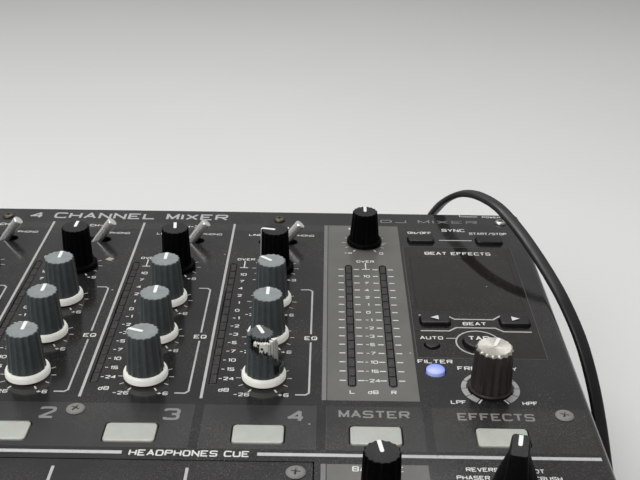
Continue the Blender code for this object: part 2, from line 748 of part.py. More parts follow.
def make_mains_plug(finish):
    """A moulded two-pin plug lying beside the coil, its relief towards the coil."""
    x, z = MAINS_PLUG_X, MAINS_PLUG_Z
    body_rear, body_front = RELIEF_END_Y - 0.020, RELIEF_END_Y - 0.050
    bm = bmesh.new()
    body = rounded_rectangle((x, (body_rear + body_front) / 2), (0.022, 0.030), 0.004)
    add_prism(bm, body, z - 0.0072, z + 0.0072)
    plug = place("mains_plug", bm, finish)
    bm = bmesh.new()
    profile = [(0.0034, 0.0), (0.0052, 0.014), (0.0052, 0.022)]
    verts = add_turned(bm, profile, HOLE_SIDES)
    lay = Matrix.Translation((x, RELIEF_END_Y, z)) @ Matrix.Rotation(math.pi / 2, 4, "X")
    bmesh.ops.transform(bm, matrix=lay, verts=verts)
    for side in (-1, 1):
        pin = x + side * 0.00635
        low = (pin - 0.00075, body_front - 0.017, z - 0.00315)
        add_box(bm, low, (pin + 0.00075, body_front + 0.001, z + 0.00315))
    combine(plug, place("mains_plug_helper", bm, finish), "UNION")


def main():
    clear_scene()
    finishes = make_materials()
    make_tray(finishes["case"])
    make_top_panel(finishes["panel"])
    make_fader_plate(finishes["panel"])
    make_rear_panel(finishes["case"])
    make_feet(finishes["rubber"])
    make_main_board(finishes["board"])
    make_power_supply(finishes["metal"])
    make_window(finishes["window"])
    make_jack_board(finishes["metal"])
    make_power_inlet(finishes["key"])
    make_power_switch(finishes["key"])
    make_knobs(finishes)
    make_keys(finishes)
    make_input_levers(finishes["chrome"])
    make_faders(finishes["fader"])
    make_cord(finishes["cord"])
    make_coil(finishes["cord"])
    make_appliance_plug(finishes["cord"])
    make_mains_plug(finishes["cord"])
    bpy.context.view_layer.update()


main()
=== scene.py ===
"""Looks of the DJ mixer: refined pieces, printing, materials, light and camera around the frame."""
import json
import math

import bmesh
import bpy
from mathutils import Matrix, Vector

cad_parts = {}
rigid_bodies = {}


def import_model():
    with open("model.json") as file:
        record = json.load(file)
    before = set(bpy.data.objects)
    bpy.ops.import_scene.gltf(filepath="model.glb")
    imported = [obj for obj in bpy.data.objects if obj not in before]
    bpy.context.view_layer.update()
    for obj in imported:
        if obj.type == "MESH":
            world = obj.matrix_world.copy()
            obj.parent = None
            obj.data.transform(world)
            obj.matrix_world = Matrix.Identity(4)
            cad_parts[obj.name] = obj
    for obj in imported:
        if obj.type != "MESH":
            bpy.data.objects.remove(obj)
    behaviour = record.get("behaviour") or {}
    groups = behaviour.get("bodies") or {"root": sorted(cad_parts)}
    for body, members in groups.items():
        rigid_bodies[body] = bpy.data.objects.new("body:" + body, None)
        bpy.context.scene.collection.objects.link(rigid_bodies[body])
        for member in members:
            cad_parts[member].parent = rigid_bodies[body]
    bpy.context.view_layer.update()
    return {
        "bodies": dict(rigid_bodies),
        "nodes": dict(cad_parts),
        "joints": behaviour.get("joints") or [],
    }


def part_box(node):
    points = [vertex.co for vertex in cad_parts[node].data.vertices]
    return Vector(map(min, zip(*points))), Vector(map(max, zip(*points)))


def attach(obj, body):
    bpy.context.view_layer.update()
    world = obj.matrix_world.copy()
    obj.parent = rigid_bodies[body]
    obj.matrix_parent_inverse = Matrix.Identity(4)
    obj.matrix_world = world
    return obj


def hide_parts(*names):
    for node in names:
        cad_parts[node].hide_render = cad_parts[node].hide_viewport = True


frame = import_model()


# ---------------------------------------------------------------- places, all read from the frame
def mm(*points):
    """Points written in millimetres, as metres."""
    return [tuple(value / 1000 for value in point) for point in points]


def middle(node):
    low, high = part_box(node)
    return (low + high) / 2


def extent(node):
    low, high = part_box(node)
    return high - low


def plan(node):
    """Middle, width and length of a node seen from above."""
    low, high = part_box(node)
    return (low.x + high.x) / 2, (low.y + high.y) / 2, high.x - low.x, high.y - low.y


AXIS = {j["child"]: Vector(j["pos_m"]) for j in frame["joints"] if "pos_m" in j}
# How far each knob's pointer stands from the rear at rest, clockwise in degrees.
POINTER = {j["child"]: sum(j["range_deg"]) / 2 for j in frame["joints"] if "range_deg" in j}
PANEL_LOW, PANEL_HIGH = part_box("top_panel")
PLATE_LOW, PLATE_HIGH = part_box("fader_plate")
WINDOW_LOW, WINDOW_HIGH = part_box("display_window")
REAR_LOW, REAR_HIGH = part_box("rear_panel")
TOP = PANEL_HIGH.z
SHEET = TOP - PLATE_LOW.z
SKIRT_INSIDE = PANEL_HIGH.x - 0.0017
COLUMNS = [AXIS[f"eq_low_knob_{n}"].x for n in (1, 2, 3, 4)]
PITCH = COLUMNS[1] - COLUMNS[0]
ROWS = {row: AXIS[f"{row}_knob_1"].y for row in ("trim", "eq_high", "eq_mid", "eq_low")}
LEVER_Y = AXIS["input_lever_1"].y
CUE_Y = middle("cue_button_1").y
MASTER_X = AXIS["master_level_knob"].x
EFFECTS_X = AXIS["frequency_knob"].x
KNOB_BASE = AXIS["eq_low_knob_1"].z

# Strips and meters, measured from those
STRIP_FRONT, STRIP_REAR = ROWS["eq_low"] - 0.0130, LEVER_Y + 0.0180
DIVIDERS = [x - PITCH / 2 for x in COLUMNS] + [COLUMNS[3] + PITCH / 2 + 0.0002]
MASTER_SIDES = (DIVIDERS[4] + 0.0014, MASTER_X + 0.0163)
OVERLAY = ((0.1010, 0.0625), (0.1502, 0.1543))
CUE_BAND = (CUE_Y - 0.0079, CUE_Y + 0.0164)
REAR_BAND_FRONT = STRIP_REAR - 0.0068
LOWER_STRIP_REAR = CUE_BAND[0] - 0.0070
METER_FRONT, METER_REAR, METER_WIDTH = ROWS["eq_low"] - 0.0047, ROWS["trim"] + 0.0041, 0.0029
CHANNEL_METERS = [x - 0.0184 for x in COLUMNS]
MASTER_METERS = [MASTER_X - 0.0075, MASTER_X + 0.0074]
SEGMENT_PITCH = 0.00606
FIRST_SEGMENT_Y = METER_REAR - 0.0040
LEVELS = ("", "10", "7", "4", "2", "1", "0", "-1", "-2", "-3", "-5", "-7", "-10", "-15", "-24")

# Cord: the route that isn't coiled, then the coil
CORD_WIDTH = 0.0056
CORD_THICKNESS = 0.0034
CORD_ROUTE = mm(
    (116.4, 199.5, 72.7), (116.5, 199.5, 77.5), (117.8, 198.4, 82.8), (120, 195.6, 88),
    (122.2, 192.5, 92.8), (125.4, 188.9, 97.5), (128.7, 185.2, 101.1), (131.8, 181.2, 103.6),
    (135.6, 175.5, 105.5), (139, 169.6, 106.4), (142.5, 162.8, 106.7), (145.6, 156.1, 106.1),
    (150.5, 144, 103.6), (155.5, 130.6, 99.7), (160.5, 117.8, 94.6), (165, 106, 88.7),
    (169.6, 94.3, 80), (172.6, 85.8, 71.4), (175.2, 77.6, 61), (177.3, 69.7, 49.2),
    (179, 61.8, 37), (180.3, 53.4, 25.3), (181.3, 43.8, 15), (181.9, 32.7, 7.7),
    (182, 22.5, 4.1), (182, 14.5, 3),
)
COIL_TURN_PITCH = 0.0056
COIL_OUTER_TURN = 0.0420
COIL_INNER_TURN = 0.0252
COIL_LAYERS = (0.0023, 0.0058)


# ---------------------------------------------------------------- mesh helpers
def shade(mesh, angle):
    """Smooth shading, with edges past an angle in degrees left sharp."""
    mesh.shade_smooth()
    mesh.set_sharp_from_angle(angle=math.radians(angle))
    return mesh


def make(name, bm, finishes=(), smooth=0, place=(0, 0, 0), turn=(0, 0, 0)):
    """An object from a bmesh, with its finishes by name. smooth is the angle for shade()."""
    bmesh.ops.recalc_face_normals(bm, faces=bm.faces)
    mesh = bpy.data.meshes.new(name)
    bm.to_mesh(mesh)
    bm.free()
    for finish in [finishes] if isinstance(finishes, str) else finishes:
        mesh.materials.append(FINISHES[finish])
    return put(name, shade(mesh, smooth) if smooth else mesh, place, turn)


def pattern(name, bm, finishes, smooth):
    """Only the mesh, for pieces that share it."""
    made = make(name, bm, finishes, smooth)
    mesh = made.data
    bpy.data.objects.remove(made)
    return mesh


def put(name, mesh, place=(0, 0, 0), turn=(0, 0, 0)):
    made = bpy.data.objects.new(name, mesh)
    made.location = place
    made.rotation_euler = turn
    bpy.context.scene.collection.objects.link(made)
    return made


def settle(piece, slot, *nodes, body="root"):
    """Rides a piece on its body and hides the CAD nodes it stands for; slot is not used."""
    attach(piece, body)
    if nodes:
        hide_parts(*nodes)
    return piece


def build(name, bm, finishes, smooth, slot, *nodes):
    return settle(make(name, bm, finishes, smooth), slot, *nodes)


def soften(piece, width, segments=2):
    """Rounds a piece's sharp edges."""
    bevel = piece.modifiers.new("soft edges", "BEVEL")
    bevel.width = width
    bevel.segments = segments
    bevel.limit_method = "ANGLE"
    bevel.angle_limit = math.radians(40)
    bevel.harden_normals = True
    return piece


def circle(x, y, radius, sides):
    angles = [2 * math.pi * i / sides for i in range(sides)]
    return [(x + radius * math.cos(a), y + radius * math.sin(a)) for a in angles]


def rounded(x, y, width, length, radius, steps=5, grow=0.0):
    """Outline of a rounded rectangle, which grow pushes outwards all round."""
    half_x, half_y = width / 2 - radius, length / 2 - radius
    radius += grow
    points = []
    for quarter, (side_x, side_y) in enumerate(((1, 1), (-1, 1), (-1, -1), (1, -1))):
        for step in range(steps + 1):
            a = (quarter + step / steps) * math.pi / 2
            corner_x, corner_y = x + side_x * half_x, y + side_y * half_y
            points.append((corner_x + radius * math.cos(a), corner_y + radius * math.sin(a)))
    return points


def add_layers(bm, layers, paint=0, wrap=False):
    """Skin over matching rings of 3-D points, closed by its end faces or back onto its first ring."""
    rings = [[bm.verts.new(p) for p in layer] for layer in layers]
    faces = [] if wrap else [bm.faces.new(rings[0][::-1]), bm.faces.new(rings[-1])]
    for lower, upper in zip(rings, rings[1:] + rings[:wrap]):
        for i in range(len(lower)):
            j = (i + 1) % len(lower)
            faces.append(bm.faces.new((lower[i], lower[j], upper[j], upper[i])))
    for face in faces:
        face.material_index = paint
    return [v for ring in rings for v in ring]


def add_levels(bm, levels, paint=0, wrap=False):
    """Skin over flat outlines, each with its height."""
    return add_layers(bm, [[(x, y, z) for x, y in outline] for outline, z in levels], paint, wrap)


def add_prism(bm, outline, low, high, paint=0):
    return add_levels(bm, ((outline, low), (outline, high)), paint)


def add_box(bm, low, high, paint=0):
    outline = ((low[0], low[1]), (high[0], low[1]), (high[0], high[1]), (low[0], high[1]))
    return add_prism(bm, outline, low[2], high[2], paint)


def add_soft_box(bm, low, high, edge, paint=0, radius=None):
    """A box with rounded upright corners and a chamfer all round its top and bottom."""
    width, length = high[0] - low[0], high[1] - low[1]
    x, y = (low[0] + high[0]) / 2, (low[1] + high[1]) / 2
    radius = radius or edge
    full = rounded(x, y, width, length, radius, 4)
    small = rounded(x, y, width - 2 * edge, length - 2 * edge, max(radius - edge, 1e-4), 4)
    levels = ((small, low[2]), (full, low[2] + edge), (full, high[2] - edge), (small, high[2]))
    return add_levels(bm, levels, paint)


def add_block(bm, middle_point, half, edge, paint=0, radius=None):
    """A soft box round its middle, with its half sizes."""
    low = [m - h for m, h in zip(middle_point, half)]
    high = [m + h for m, h in zip(middle_point, half)]
    return add_soft_box(bm, low, high, edge, paint, radius)


def add_turned(bm, profile, sides, centre=(0, 0), paint=0, wrap=False):
    """Turns a (radius, z) profile about Z. One that wraps is a closed outline clear of the axis."""
    return add_levels(bm, [(circle(*centre, radius, sides), z) for radius, z in profile], paint, wrap)


def move(bm, verts, matrix):
    bmesh.ops.transform(bm, matrix=matrix, verts=verts)


def cut(piece, bm, smooth=0, finishes=()):
    """Takes a bmesh's solids away from the piece."""
    cutter = make("cutter", bm, finishes)
    boolean = piece.modifiers.new("openings", "BOOLEAN")
    boolean.operation = "DIFFERENCE"
    boolean.solver = "EXACT"
    boolean.object = cutter
    graph = bpy.context.evaluated_depsgraph_get()
    mesh = bpy.data.meshes.new_from_object(piece.evaluated_get(graph))
    piece.modifiers.clear()
    piece.data = shade(mesh, smooth) if smooth else mesh
    bpy.data.objects.remove(cutter)


# ---------------------------------------------------------------- materials
class Surface:
    """A Principled material whose colour, roughness and relief are built from noise in object space."""

    def __init__(self, name, colour, roughness, metallic=0.0):
        self.material = bpy.data.materials.new(name)
        self.material.use_nodes = True
        self.nodes = self.material.node_tree.nodes
        self.links = self.material.node_tree.links
        self.shader = self.nodes["Principled BSDF"]
        self.shader.inputs["Metallic"].default_value = metallic
        self.place = self.nodes.new("ShaderNodeTexCoord").outputs["Object"]
        rgb = self.nodes.new("ShaderNodeRGB")
        rgb.outputs[0].default_value = (*colour, 1.0)
        self.colour = rgb.outputs[0]
        self.rough = None
        self.base_roughness = roughness
        self.shader.inputs["Roughness"].default_value = roughness
        self.normal = None

    def set(self, **values):
        for socket, value in values.items():
            self.shader.inputs[socket.replace("_", " ")].default_value = value
        return self

    def noise(self, scale, detail=3.0, stretch=(1, 1, 1)):
        source = self.place
        if stretch != (1, 1, 1):
            mapping = self.nodes.new("ShaderNodeMapping")
            mapping.inputs["Scale"].default_value = stretch
            self.links.new(source, mapping.inputs["Vector"])
            source = mapping.outputs["Vector"]
        node = self.nodes.new("ShaderNodeTexNoise")
        node.inputs["Scale"].default_value = scale
        node.inputs["Detail"].default_value = detail
        self.links.new(source, node.inputs["Vector"])
        return node.outputs["Fac"]

    def span(self, value, low, high, to_low=0.0, to_high=1.0):
        node = self.nodes.new("ShaderNodeMapRange")
        self.links.new(value, node.inputs["Value"])
        for socket, number in zip(("From Min", "From Max", "To Min", "To Max"), (low, high, to_low, to_high)):
            node.inputs[socket].default_value = number
        return node.outputs["Result"]

    def along(self, axis, start, end):
        """Rises from 0 to 1 between two places on an axis."""
        split = self.nodes.new("ShaderNodeSeparateXYZ")
        self.links.new(self.place, split.inputs[0])
        return self.span(split.outputs[axis], start, end)

    def product(self, a, b):
        node = self.nodes.new("ShaderNodeMath")
        node.operation = "MULTIPLY"
        self.links.new(a, node.inputs[0])
        self.links.new(b, node.inputs[1])
        return node.outputs[0]

    def tint(self, colour, factor):
        """Mixes a colour in where the factor is high."""
        node = self.nodes.new("ShaderNodeMix")
        node.data_type = "RGBA"
        self.links.new(factor, node.inputs["Factor"])
        self.links.new(self.colour, node.inputs["A"])
        node.inputs["B"].default_value = (*colour, 1.0)
        self.colour = node.outputs["Result"]
        return self

    def mottle(self, scale, amount, stretch=(1, 1, 1)):
        """Makes the colour a little lighter and darker from place to place."""
        node = self.nodes.new("ShaderNodeHueSaturation")
        value = self.span(self.noise(scale, 4.0, stretch), 0.3, 0.7, 1 - amount, 1 + amount)
        self.links.new(value, node.inputs["Value"])
        self.links.new(self.colour, node.inputs["Color"])
        self.colour = node.outputs["Color"]
        return self

    def dust(self, colour, scale, threshold, strength, patch_scale=30.0):
        """Specks above a noise threshold, thicker in some patches than in others."""
        specks = self.span(self.noise(scale, 2.0), threshold, threshold + 0.06, 0.0, strength)
        patches = self.span(self.noise(patch_scale, 2.0), 0.38, 0.62)
        return self.tint(colour, self.product(specks, patches))

    def smudge(self, scale, amount, stretch=(1, 1, 1)):
        """Uneven gloss, as handling and wiping leave it."""
        low, high = self.base_roughness - amount, self.base_roughness + amount
        self.rough = self.span(self.noise(scale, 5.0, stretch), 0.35, 0.65, low, high)
        return self

    def relief(self, scale, distance, detail=2.0, stretch=(1, 1, 1), strength=1.0):
        node = self.nodes.new("ShaderNodeBump")
        node.inputs["Distance"].default_value = distance
        node.inputs["Strength"].default_value = strength
        self.links.new(self.noise(scale, detail, stretch), node.inputs["Height"])
        if self.normal:
            self.links.new(self.normal, node.inputs["Normal"])
        self.normal = node.outputs["Normal"]
        return self

    def done(self):
        self.links.new(self.colour, self.shader.inputs["Base Color"])
        if self.rough:
            self.links.new(self.rough, self.shader.inputs["Roughness"])
        if self.normal:
            self.links.new(self.normal, self.shader.inputs["Normal"])
        return self.material


DUST = (0.115, 0.105, 0.090)


def paint(name, colour, roughness=0.15, dust=0.5, peel=0.000012):
    """Satin paint on sheet metal: fine orange peel, wiping smears and a film of club dust."""
    surface = Surface(name, colour, roughness)
    surface.mottle(55, 0.10).dust(DUST, 2300, 0.57, dust * 0.8).dust((0.22, 0.21, 0.19), 4300, 0.66, dust, 60)
    surface.dust((0.40, 0.38, 0.34), 1700, 0.70, dust, 14)
    return surface.smudge(38, min(0.03, roughness / 3)).relief(2600, peel).done()


def case_paint():
    surface = Surface("case_paint", (0.018, 0.018, 0.019), 0.48)
    return surface.mottle(40, 0.12).dust(DUST, 1200, 0.60, 0.4).smudge(30, 0.07).relief(1900, 0.00012).done()


def plastic(name, colour, roughness, grain=3200, depth=0.00003, dust=0.35, gloss=0.5):
    surface = Surface(name, colour, roughness).set(Specular_IOR_Level=gloss)
    surface.mottle(180, 0.10).dust(DUST, 2400, 0.60, dust, 120)
    return surface.smudge(150, 0.06).relief(grain, depth).done()


def soft_touch(name, colour):
    """Slate rubber-coated plastic, dulled by fingers, with dust held in its grain."""
    surface = Surface(name, colour, 0.50)
    surface.mottle(260, 0.14).dust((0.30, 0.31, 0.29), 2600, 0.60, 0.35, 170)
    return surface.smudge(200, 0.08).relief(4200, 0.00004).set(Sheen_Weight=0.15).done()


def ivory():
    surface = Surface("skirt_ivory", (0.84, 0.82, 0.74), 0.36)
    surface.mottle(300, 0.05).dust((0.30, 0.26, 0.20), 1500, 0.61, 0.45, 200)
    surface.smudge(200, 0.06).relief(2400, 0.00002)
    # The emission is a painted glow that brightens the ring as if more light reached it; the ring holds no
    # lamp.
    surface.set(Subsurface_Weight=0.10, Emission_Color=(1.0, 0.97, 0.90, 1.0), Emission_Strength=0.20)
    return surface.done()


def ink(name, colour):
    """Screen-printed ink, slightly worn through in places."""
    surface = Surface(name, colour, 0.42)
    surface.mottle(500, 0.06).dust((0.10, 0.10, 0.10), 1700, 0.62, 0.6, 220)
    return surface.smudge(300, 0.05).relief(5200, 0.00001).done()


def chrome():
    surface = Surface("lever_chrome", (0.93, 0.92, 0.90), 0.27, 0.80)
    surface.mottle(240, 0.025).dust((0.60, 0.59, 0.56), 2600, 0.66, 0.12, 300)
    return surface.smudge(160, 0.02).relief(900, 0.0000006).done()


def steel(name, colour, roughness):
    surface = Surface(name, colour, roughness, 1.0)
    surface.mottle(500, 0.12).dust((0.10, 0.09, 0.07), 1500, 0.58, 0.6, 200)
    return surface.smudge(300, 0.09, (1, 6, 1)).relief(3000, 0.00002, 2.0, (1, 8, 1)).done()


def spun_cap():
    """Turned aluminium-coloured disc: the brushing runs round its centre."""
    surface = Surface("knob_cap_metal", (0.60, 0.575, 0.52), 0.40, 0.85)
    surface.mottle(900, 0.08).dust((0.20, 0.18, 0.15), 2600, 0.62, 0.4, 200)
    tangent = surface.nodes.new("ShaderNodeTangent")
    tangent.direction_type = "RADIAL"
    tangent.axis = "Z"
    surface.links.new(tangent.outputs[0], surface.shader.inputs["Tangent"])
    return surface.smudge(700, 0.05).relief(4000, 0.00001).set(Anisotropic=0.5).done()


def milky():
    surface = Surface("key_milky", (0.42, 0.44, 0.395), 0.34)
    surface.mottle(260, 0.05).dust((0.30, 0.28, 0.22), 1400, 0.64, 0.3, 150)
    surface.smudge(200, 0.05).relief(2600, 0.00001)
    return surface.set(Subsurface_Weight=0.25, Subsurface_Scale=0.002, Coat_Weight=0.15).done()


def lit_blue():
    """Clear blue resin, lit from below: deeper at its rear and paler at its front."""
    surface = Surface("key_lit_blue", (0.20, 0.26, 0.85), 0.45)
    low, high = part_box("filter_button")
    surface.tint((0.46, 0.52, 0.86), surface.along("Y", high.y - 0.0015, low.y + 0.0005))
    surface.mottle(500, 0.06).smudge(300, 0.04).relief(3000, 0.00001)
    surface.set(Emission_Color=(0.24, 0.33, 1.0, 1.0), Emission_Strength=0.22, Coat_Weight=0.08)
    return surface.done()


def smoked():
    surface = Surface("smoked_window", (0.0125, 0.0105, 0.0100), 0.055)
    surface.mottle(55, 0.10).dust(DUST, 2300, 0.60, 0.4, 60)
    return surface.smudge(50, 0.02).relief(900, 0.000003).done()


def led(name, colour, dust=0.5):
    """Unlit LED bar behind clear resin."""
    surface = Surface(name, colour, 0.30)
    surface.mottle(700, 0.12).dust(DUST, 1500, 0.55, dust, 260)
    return surface.smudge(400, 0.06).relief(2600, 0.00002).done()


def cord_rubber():
    surface = Surface("cord_jacket", (0.009, 0.009, 0.010), 0.40)
    surface.mottle(140, 0.14).dust(DUST, 1600, 0.63, 0.35, 120)
    return surface.smudge(120, 0.07).relief(1800, 0.00004).done()


def floor_paper():
    surface = Surface("floor_paper", (0.77, 0.77, 0.76), 0.62)
    # Painted shade: the floor's colour darkens towards the rear, standing in for the light falling off with
    # distance.
    surface.tint((0.49, 0.49, 0.48), surface.along("Y", 0.12, 1.05))
    return surface.mottle(3, 0.012).smudge(6, 0.04).relief(220, 0.00004).done()


def make_finishes():
    return {
        "panel": paint("panel_paint", (0.0165, 0.0165, 0.0168)),
        "band": paint("panel_band", (0.027, 0.027, 0.027), 0.20),
        "cue_band": paint("cue_band", (0.030, 0.030, 0.030), 0.20),
        "pale_band": paint("pale_band", (0.023, 0.023, 0.022), 0.20),
        "master": paint("master_paint", (0.122, 0.121, 0.112), 0.24, 0.3),
        "overlay": paint("overlay_paint", (0.0125, 0.0105, 0.0100), 0.055, peel=0.000003),
        "plate": paint("plate_paint", (0.0175, 0.0175, 0.0180)),
        "case": case_paint(),
        "black": plastic("knob_black", (0.0022, 0.0022, 0.0025), 0.45, dust=0.12, gloss=0.03),
        # A lighter copy of the knob black for the knobs' top faces: a painted lit top.
        "black_painted_lit_top": plastic("knob_black_painted_lit_top", (0.014, 0.014, 0.015), 0.46, gloss=0.22),
        "selector": plastic("selector_black", (0.0040, 0.0040, 0.0045), 0.46, dust=0.2, gloss=0.08),
        "slate": soft_touch("knob_slate", (0.048, 0.058, 0.060)),
        # A lighter copy of the slate for the knobs' top faces: a painted lit top.
        "slate_painted_lit_top": soft_touch("knob_slate_painted_lit_top", (0.205, 0.228, 0.230)),
        "ivory": ivory(),
        "pointer": plastic("pointer_white", (0.80, 0.80, 0.78), 0.38, 2600, 0.00001, 0.2),
        "umber": plastic("knob_umber", (0.030, 0.024, 0.022), 0.42, gloss=0.4),
        "cap": spun_cap(),
        "chrome": chrome(),
        "screw": steel("screw_steel", (0.46, 0.45, 0.42), 0.34),
        "dark_screw": steel("screw_dusty", (0.115, 0.105, 0.085), 0.50),
        "pale_screw": plastic("screw_pale", (0.20, 0.192, 0.180), 0.60, dust=0.7),
        "jack": steel("jack_metal", (0.62, 0.60, 0.53), 0.28),
        "milky": milky(),
        "blue": lit_blue(),
        "key": plastic("key_black", (0.010, 0.010, 0.011), 0.34, gloss=0.35),
        "window": smoked(),
        # Near-black for the insides of openings, recesses, bores and gaps: painted shade where little light
        # reaches.
        "hole": plastic("slot_black", (0.004, 0.004, 0.004), 0.60),
        "dusty_led": led("meter_segment_dusty", (0.014, 0.012, 0.011), 0.30),
        "grey_led": led("meter_segment_grey", (0.022, 0.022, 0.021), 0.25),
        "white_ink": ink("ink_white", (0.64, 0.65, 0.63)),
        "silver_ink": ink("ink_silver", (0.43, 0.43, 0.42)),
        "grey_ink": ink("ink_grey", (0.200, 0.200, 0.198)),
        "line_ink": ink("ink_line", (0.050, 0.047, 0.045)),
        "fader": plastic("fader_cap", (0.013, 0.013, 0.014), 0.36),
        "cord": cord_rubber(),
        "rubber": plastic("foot_rubber", (0.016, 0.016, 0.016), 0.80, 1400, 0.0001),
        "moulded": plastic("moulded_black", (0.014, 0.014, 0.015), 0.50, 1800, 0.00006),
        "red": plastic("jack_red", (0.42, 0.022, 0.020), 0.40),
        "white": plastic("jack_white", (0.66, 0.65, 0.61), 0.42),
        "board": plastic("circuit_board", (0.020, 0.090, 0.045), 0.45, 900, 0.0001),
        "shield": steel("shield_steel", (0.56, 0.56, 0.54), 0.36),
        "floor": floor_paper(),
        "dial_ink": ink("ink_dial", (0.34, 0.34, 0.33)),
        "divider_ink": ink("ink_divider", (0.150, 0.152, 0.150)),
        "logo_ink": ink("ink_logo", (0.40, 0.41, 0.41)),
        "bar_ink": ink("ink_bar", (0.47, 0.48, 0.475)),
        "flake_ink": ink("dried_flakes", (0.42, 0.38, 0.30)),
        "core": plastic("knob_core_pale", (0.86, 0.84, 0.79), 0.26),
    }


FINISHES = make_finishes()


# ---------------------------------------------------------------- camera, light and floor
def make_camera():
    data = bpy.data.cameras.new("camera")
    data.lens = 57.375
    data.clip_start = 0.01
    camera = bpy.data.objects.new("camera", data)
    camera.location = (0.06536, -0.26158, TOP + 0.21279)
    camera.rotation_euler = [math.radians(a) for a in (63.2038, -0.6240, 0.6166)]
    bpy.context.scene.collection.objects.link(camera)
    bpy.context.scene.camera = camera


def add_light(name, place, target, size, watts, colour=(1, 1, 1)):
    data = bpy.data.lights.new(name, "AREA")
    data.shape = "RECTANGLE"
    data.size, data.size_y = size
    data.energy = watts
    data.color = colour
    light = bpy.data.objects.new(name, data)
    light.location = place
    light.rotation_euler = (Vector(target) - Vector(place)).to_track_quat("-Z", "Y").to_euler()
    bpy.context.scene.collection.objects.link(light)


def make_stage():
    """A pale floor, a large soft light above the rear and a sky that is paler towards the rear."""
    bm = bmesh.new()
    bmesh.ops.create_grid(bm, x_segments=4, y_segments=4, size=5.0)
    make("floor", bm, "floor")
    add_light("key_light", (-0.12, 0.55, 1.25), (0.03, 0.05, 0.05), (1.1, 0.9), 12.0)
    add_light("fill_light", (-0.75, -1.15, 1.2), (0.0, 0.0, 0.08), (1.1, 1.0), 16.0)
    world = bpy.data.worlds.new("studio")
    world.use_nodes = True
    nodes, links = world.node_tree.nodes, world.node_tree.links
    split = nodes.new("ShaderNodeSeparateXYZ")
    links.new(nodes.new("ShaderNodeTexCoord").outputs["Generated"], split.inputs[0])
    span = nodes.new("ShaderNodeMapRange")
    links.new(split.outputs["Y"], span.inputs["Value"])
    for socket, value in (("From Min", -0.7), ("From Max", 0.6), ("To Min", 0.20), ("To Max", 0.40)):
        span.inputs[socket].default_value = value
    background = nodes["Background"]
    background.inputs["Color"].default_value = (1.0, 0.995, 0.98, 1.0)
    links.new(span.outputs[0], background.inputs["Strength"])
    bpy.context.scene.world = world
    bpy.context.scene.view_settings.view_transform = "Standard"


# ---------------------------------------------------------------- mains lead
def smooth_route(points, spacing):
    """Evenly spaced points on a Catmull-Rom curve through the given ones."""
    route = [Vector(p) for p in points]
    route = [2 * route[0] - route[1], *route, 2 * route[-1] - route[-2]]
    fine = []
    for a, b, c, d in zip(route[:-3], route[1:-2], route[2:-1], route[3:]):
        for t in (step / 12 for step in range(12)):
            square, cube = 2 * a - 5 * b + 4 * c - d, 3 * b - a - 3 * c + d
            fine.append(0.5 * (2 * b + (c - a) * t + square * t ** 2 + cube * t ** 3))
    fine.append(route[-2])
    evened = [fine[0]]
    left = spacing
    for a, b in zip(fine[:-1], fine[1:]):
        run = (b - a).length
        while run >= left > 0:
            a = a.lerp(b, left / run)
            run = (b - a).length
            evened.append(a)
            left = spacing
        left -= run
    if (evened[-1] - fine[-1]).length > spacing / 2:
        evened.append(fine[-1])
    return evened


def coil_points(centre):
    """Inwards on the floor for three turns, half a turn of climbing, then outwards on top."""
    points = []
    steps = 28
    inward = (COIL_OUTER_TURN - COIL_INNER_TURN) / COIL_TURN_PITCH
    low, high = COIL_LAYERS
    for turn in (step / steps for step in range(1, int((inward + 3.0) * steps) + 1)):
        radius = COIL_OUTER_TURN - COIL_TURN_PITCH * min(turn, inward)
        radius += COIL_TURN_PITCH * max(turn - inward - 0.5, 0.0)
        climb = min(max((turn - inward) / 0.5, 0.0), 1.0)
        a = math.pi + 2 * math.pi * turn
        z = low + (high - low) * (3 - 2 * climb) * climb ** 2
        points.append((centre.x + radius * math.cos(a), centre.y + radius * math.sin(a), z))
    return points


def cord_path():
    centre, plug = middle("power_cord_coil"), middle("mains_plug")
    entry_x, (low, high) = centre.x - COIL_OUTER_TURN, COIL_LAYERS
    run_in = [(entry_x, y, low) for y in (0.0055, -0.0010, centre.y)]
    run_out = [
        (plug.x, centre.y - 0.0100, high + 0.0005),
        (plug.x, centre.y - 0.0190, plug.z - 0.0004),
        (plug.x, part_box("mains_plug")[1].y + 0.0003, plug.z),
    ]
    return smooth_route([*CORD_ROUTE, *run_in, *coil_points(centre), *run_out], 0.0032)


def cord_section(sides=20):
    """Outline of a flat two-core cord: two round cores side by side in one jacket."""
    outline = []
    core = CORD_THICKNESS / 2
    offset = CORD_WIDTH / 2 - core
    for i in range(sides):
        a = 2 * math.pi * i / sides
        across, up = math.cos(a), math.sin(a)
        waist = 1.0 - 0.13 * math.exp(-((offset * 1.3 * across) / (0.45 * core)) ** 2)
        side = max(-1.0, min(1.0, across * 1.6))
        outline.append((offset * side + core * across, core * up * waist))
    widest = max(x for x, _ in outline)
    return [(x * CORD_WIDTH / 2 / widest, z) for x, z in outline]


def make_cord(plugs):
    path, section = cord_path(), cord_section()
    before, after = path[:1] + path[:-1], path[1:] + path[-1:]
    tangents = [(b - a).normalized() for a, b in zip(before, after)]
    across = []
    for tangent in tangents:
        flat = tangent.cross(Vector((0, 0, 1)))
        across.append(flat.normalized() if flat.length > 0.08 else (across or [Vector((0.8, 0.6, 0))])[-1])
    for _ in range(4):
        sides = zip(across[:1] + across[:-1], across, across[1:] + across[-1:])
        across = [(a + b + c).normalized() for a, b, c in sides]
    layers = []
    for point, tangent, side in zip(path, tangents, across):
        up = side.cross(tangent).normalized()
        side = tangent.cross(up).normalized()
        layers.append([point + side * x + up * z for x, z in section])
    bm = bmesh.new()
    add_layers(bm, layers)
    piece = build("mains_cord", bm, "cord", 60, "cord_jacket", "power_cord", "power_cord_coil")


